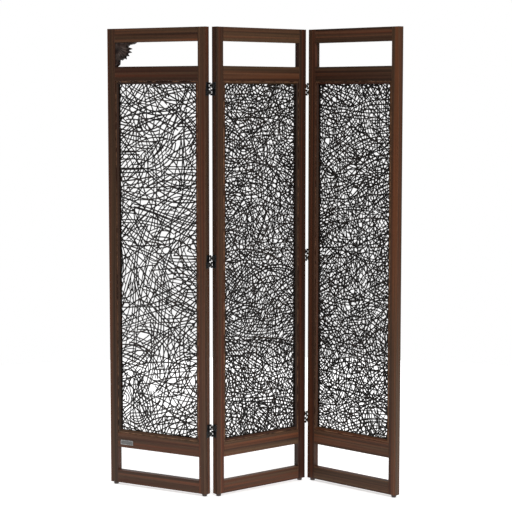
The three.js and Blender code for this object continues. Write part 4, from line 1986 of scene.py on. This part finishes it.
@dataclass
class Studio:
    """Plain pale floor, soft light and the camera.

    Attributes:
        floor_radius: Radius of the round floor.
        ambient: Brightness of the surroundings as a light.
        camera_place: The camera's place.
        camera_tilt: How far it looks down, in degrees.
        camera_pan: How far it turns to the left, in degrees.
        lens: Its focal length in millimetres.
        sensor: Width of its sensor in millimetres.
        sight: How far it sees.
    """

    floor_radius: float = 3.2
    ambient: float = 0.24
    camera_place: Triple = (-0.0085, -6.142, 1.515)
    camera_tilt: float = 5.6
    camera_pan: float = -0.2
    lens: float = 112.5
    sensor: float = 36
    sight: float = 100

    # Each lamp's name, the direction that it shines from, its width in degrees and its strength.
    LAMPS = (
        ("key_light", (1.3, -3.4, 2.2), 40, 1.75),
        ("top_light", (-0.3, -0.5, 4.0), 70, 1.1),
        ("back_light", (-1.5, 3.0, 2.0), 50, 0.9),
    )

    def build(self) -> None:
        """Sets up the floor, the lights, the surroundings and the camera."""
        outline = [(p.x, p.y, 0) for p in circle(self.floor_radius, 96)]
        floor = loose_object(mesh_from(outline, [list(range(len(outline)))]), "studio_floor")
        floor.data.materials.append(StudioFloor("studio_floor_finish").make())
        self.surroundings()
        for lamp in self.LAMPS:
            self.lamp(*lamp)
        self.camera()

    def surroundings(self) -> None:
        """White surroundings that light the screen only dimly, so that its dark finishes stay dark."""
        scene = bpy.context.scene
        world = bpy.data.worlds.new("surroundings")
        world.use_nodes = True
        graph = Graph(world.node_tree)
        seen = graph.add("ShaderNodeLightPath").outputs["Is Camera Ray"]
        brightness = graph.add("ShaderNodeMapRange", {"Value": seen, "To Min": self.ambient, "To Max": 1.0})
        background = world.node_tree.nodes["Background"]
        background.inputs["Color"].default_value = (1, 1, 1, 1)
        graph.tree.links.new(brightness.outputs[0], background.inputs["Strength"])
        scene.world = world
        scene.view_settings.view_transform = "Standard"

    @staticmethod
    def lamp(name: str, place: Triple, spread: float, strength: float) -> None:
        """A soft distant lamp.

        Args:
            name: The lamp's name.
            place: The direction that it shines from.
            spread: Its width, in degrees.
            strength: Its strength.
        """
        data = bpy.data.lights.new(name, "SUN")
        data.angle = math.radians(spread)
        data.energy = strength
        lamp = bpy.data.objects.new(name, data)
        lamp.rotation_euler = (-Vector(place)).to_track_quat("-Z", "Y").to_euler()
        bpy.context.scene.collection.objects.link(lamp)

    def camera(self) -> None:
        """The camera, in front of the screen."""
        data = bpy.data.cameras.new("camera")
        data.lens = self.lens
        data.sensor_width = self.sensor
        data.clip_end = self.sight
        camera = bpy.data.objects.new("camera", data)
        camera.location = self.camera_place
        camera.rotation_euler = (math.radians(90 - self.camera_tilt), 0, math.radians(self.camera_pan))
        bpy.context.scene.collection.objects.link(camera)
        bpy.context.scene.camera = camera


# ---------- the whole screen ----------


def main() -> None:
    """Builds the screen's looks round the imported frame, piece by piece."""
    logging.basicConfig(level=logging.INFO, format="%(message)s")
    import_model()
    Studio().build()
    shop = Workshop(seed=11)
    left, middle, right = panels = [Panel.read(f"{side}_panel") for side in ("left", "middle", "right")]
    strands = strand_tree()
    weaves = {left: Weave(188.0, 0.1, 21), middle: Weave(279.0, 0.4, 22), right: Weave(274.0, 0.4, 23)}
    for panel, weave in weaves.items():
        WoodenFrame(panel, shop).build()
        for face in Face:
            BeadRing(panel, shop).build(face)
        WovenField(panel, shop, weave).build(strands)
        Glides(panel, shop).build()
    CarvedCorner(left, shop).build()
    BlankPlate(left, shop).build()
    columns = [
        HingeColumn("left", left, middle, middle, shop),
        HingeColumn("right", middle, right, middle, shop),
    ]
    for column in columns:
        column.build()
    add_screws(columns, panels, shop)


if __name__ == "__main__":
    main()
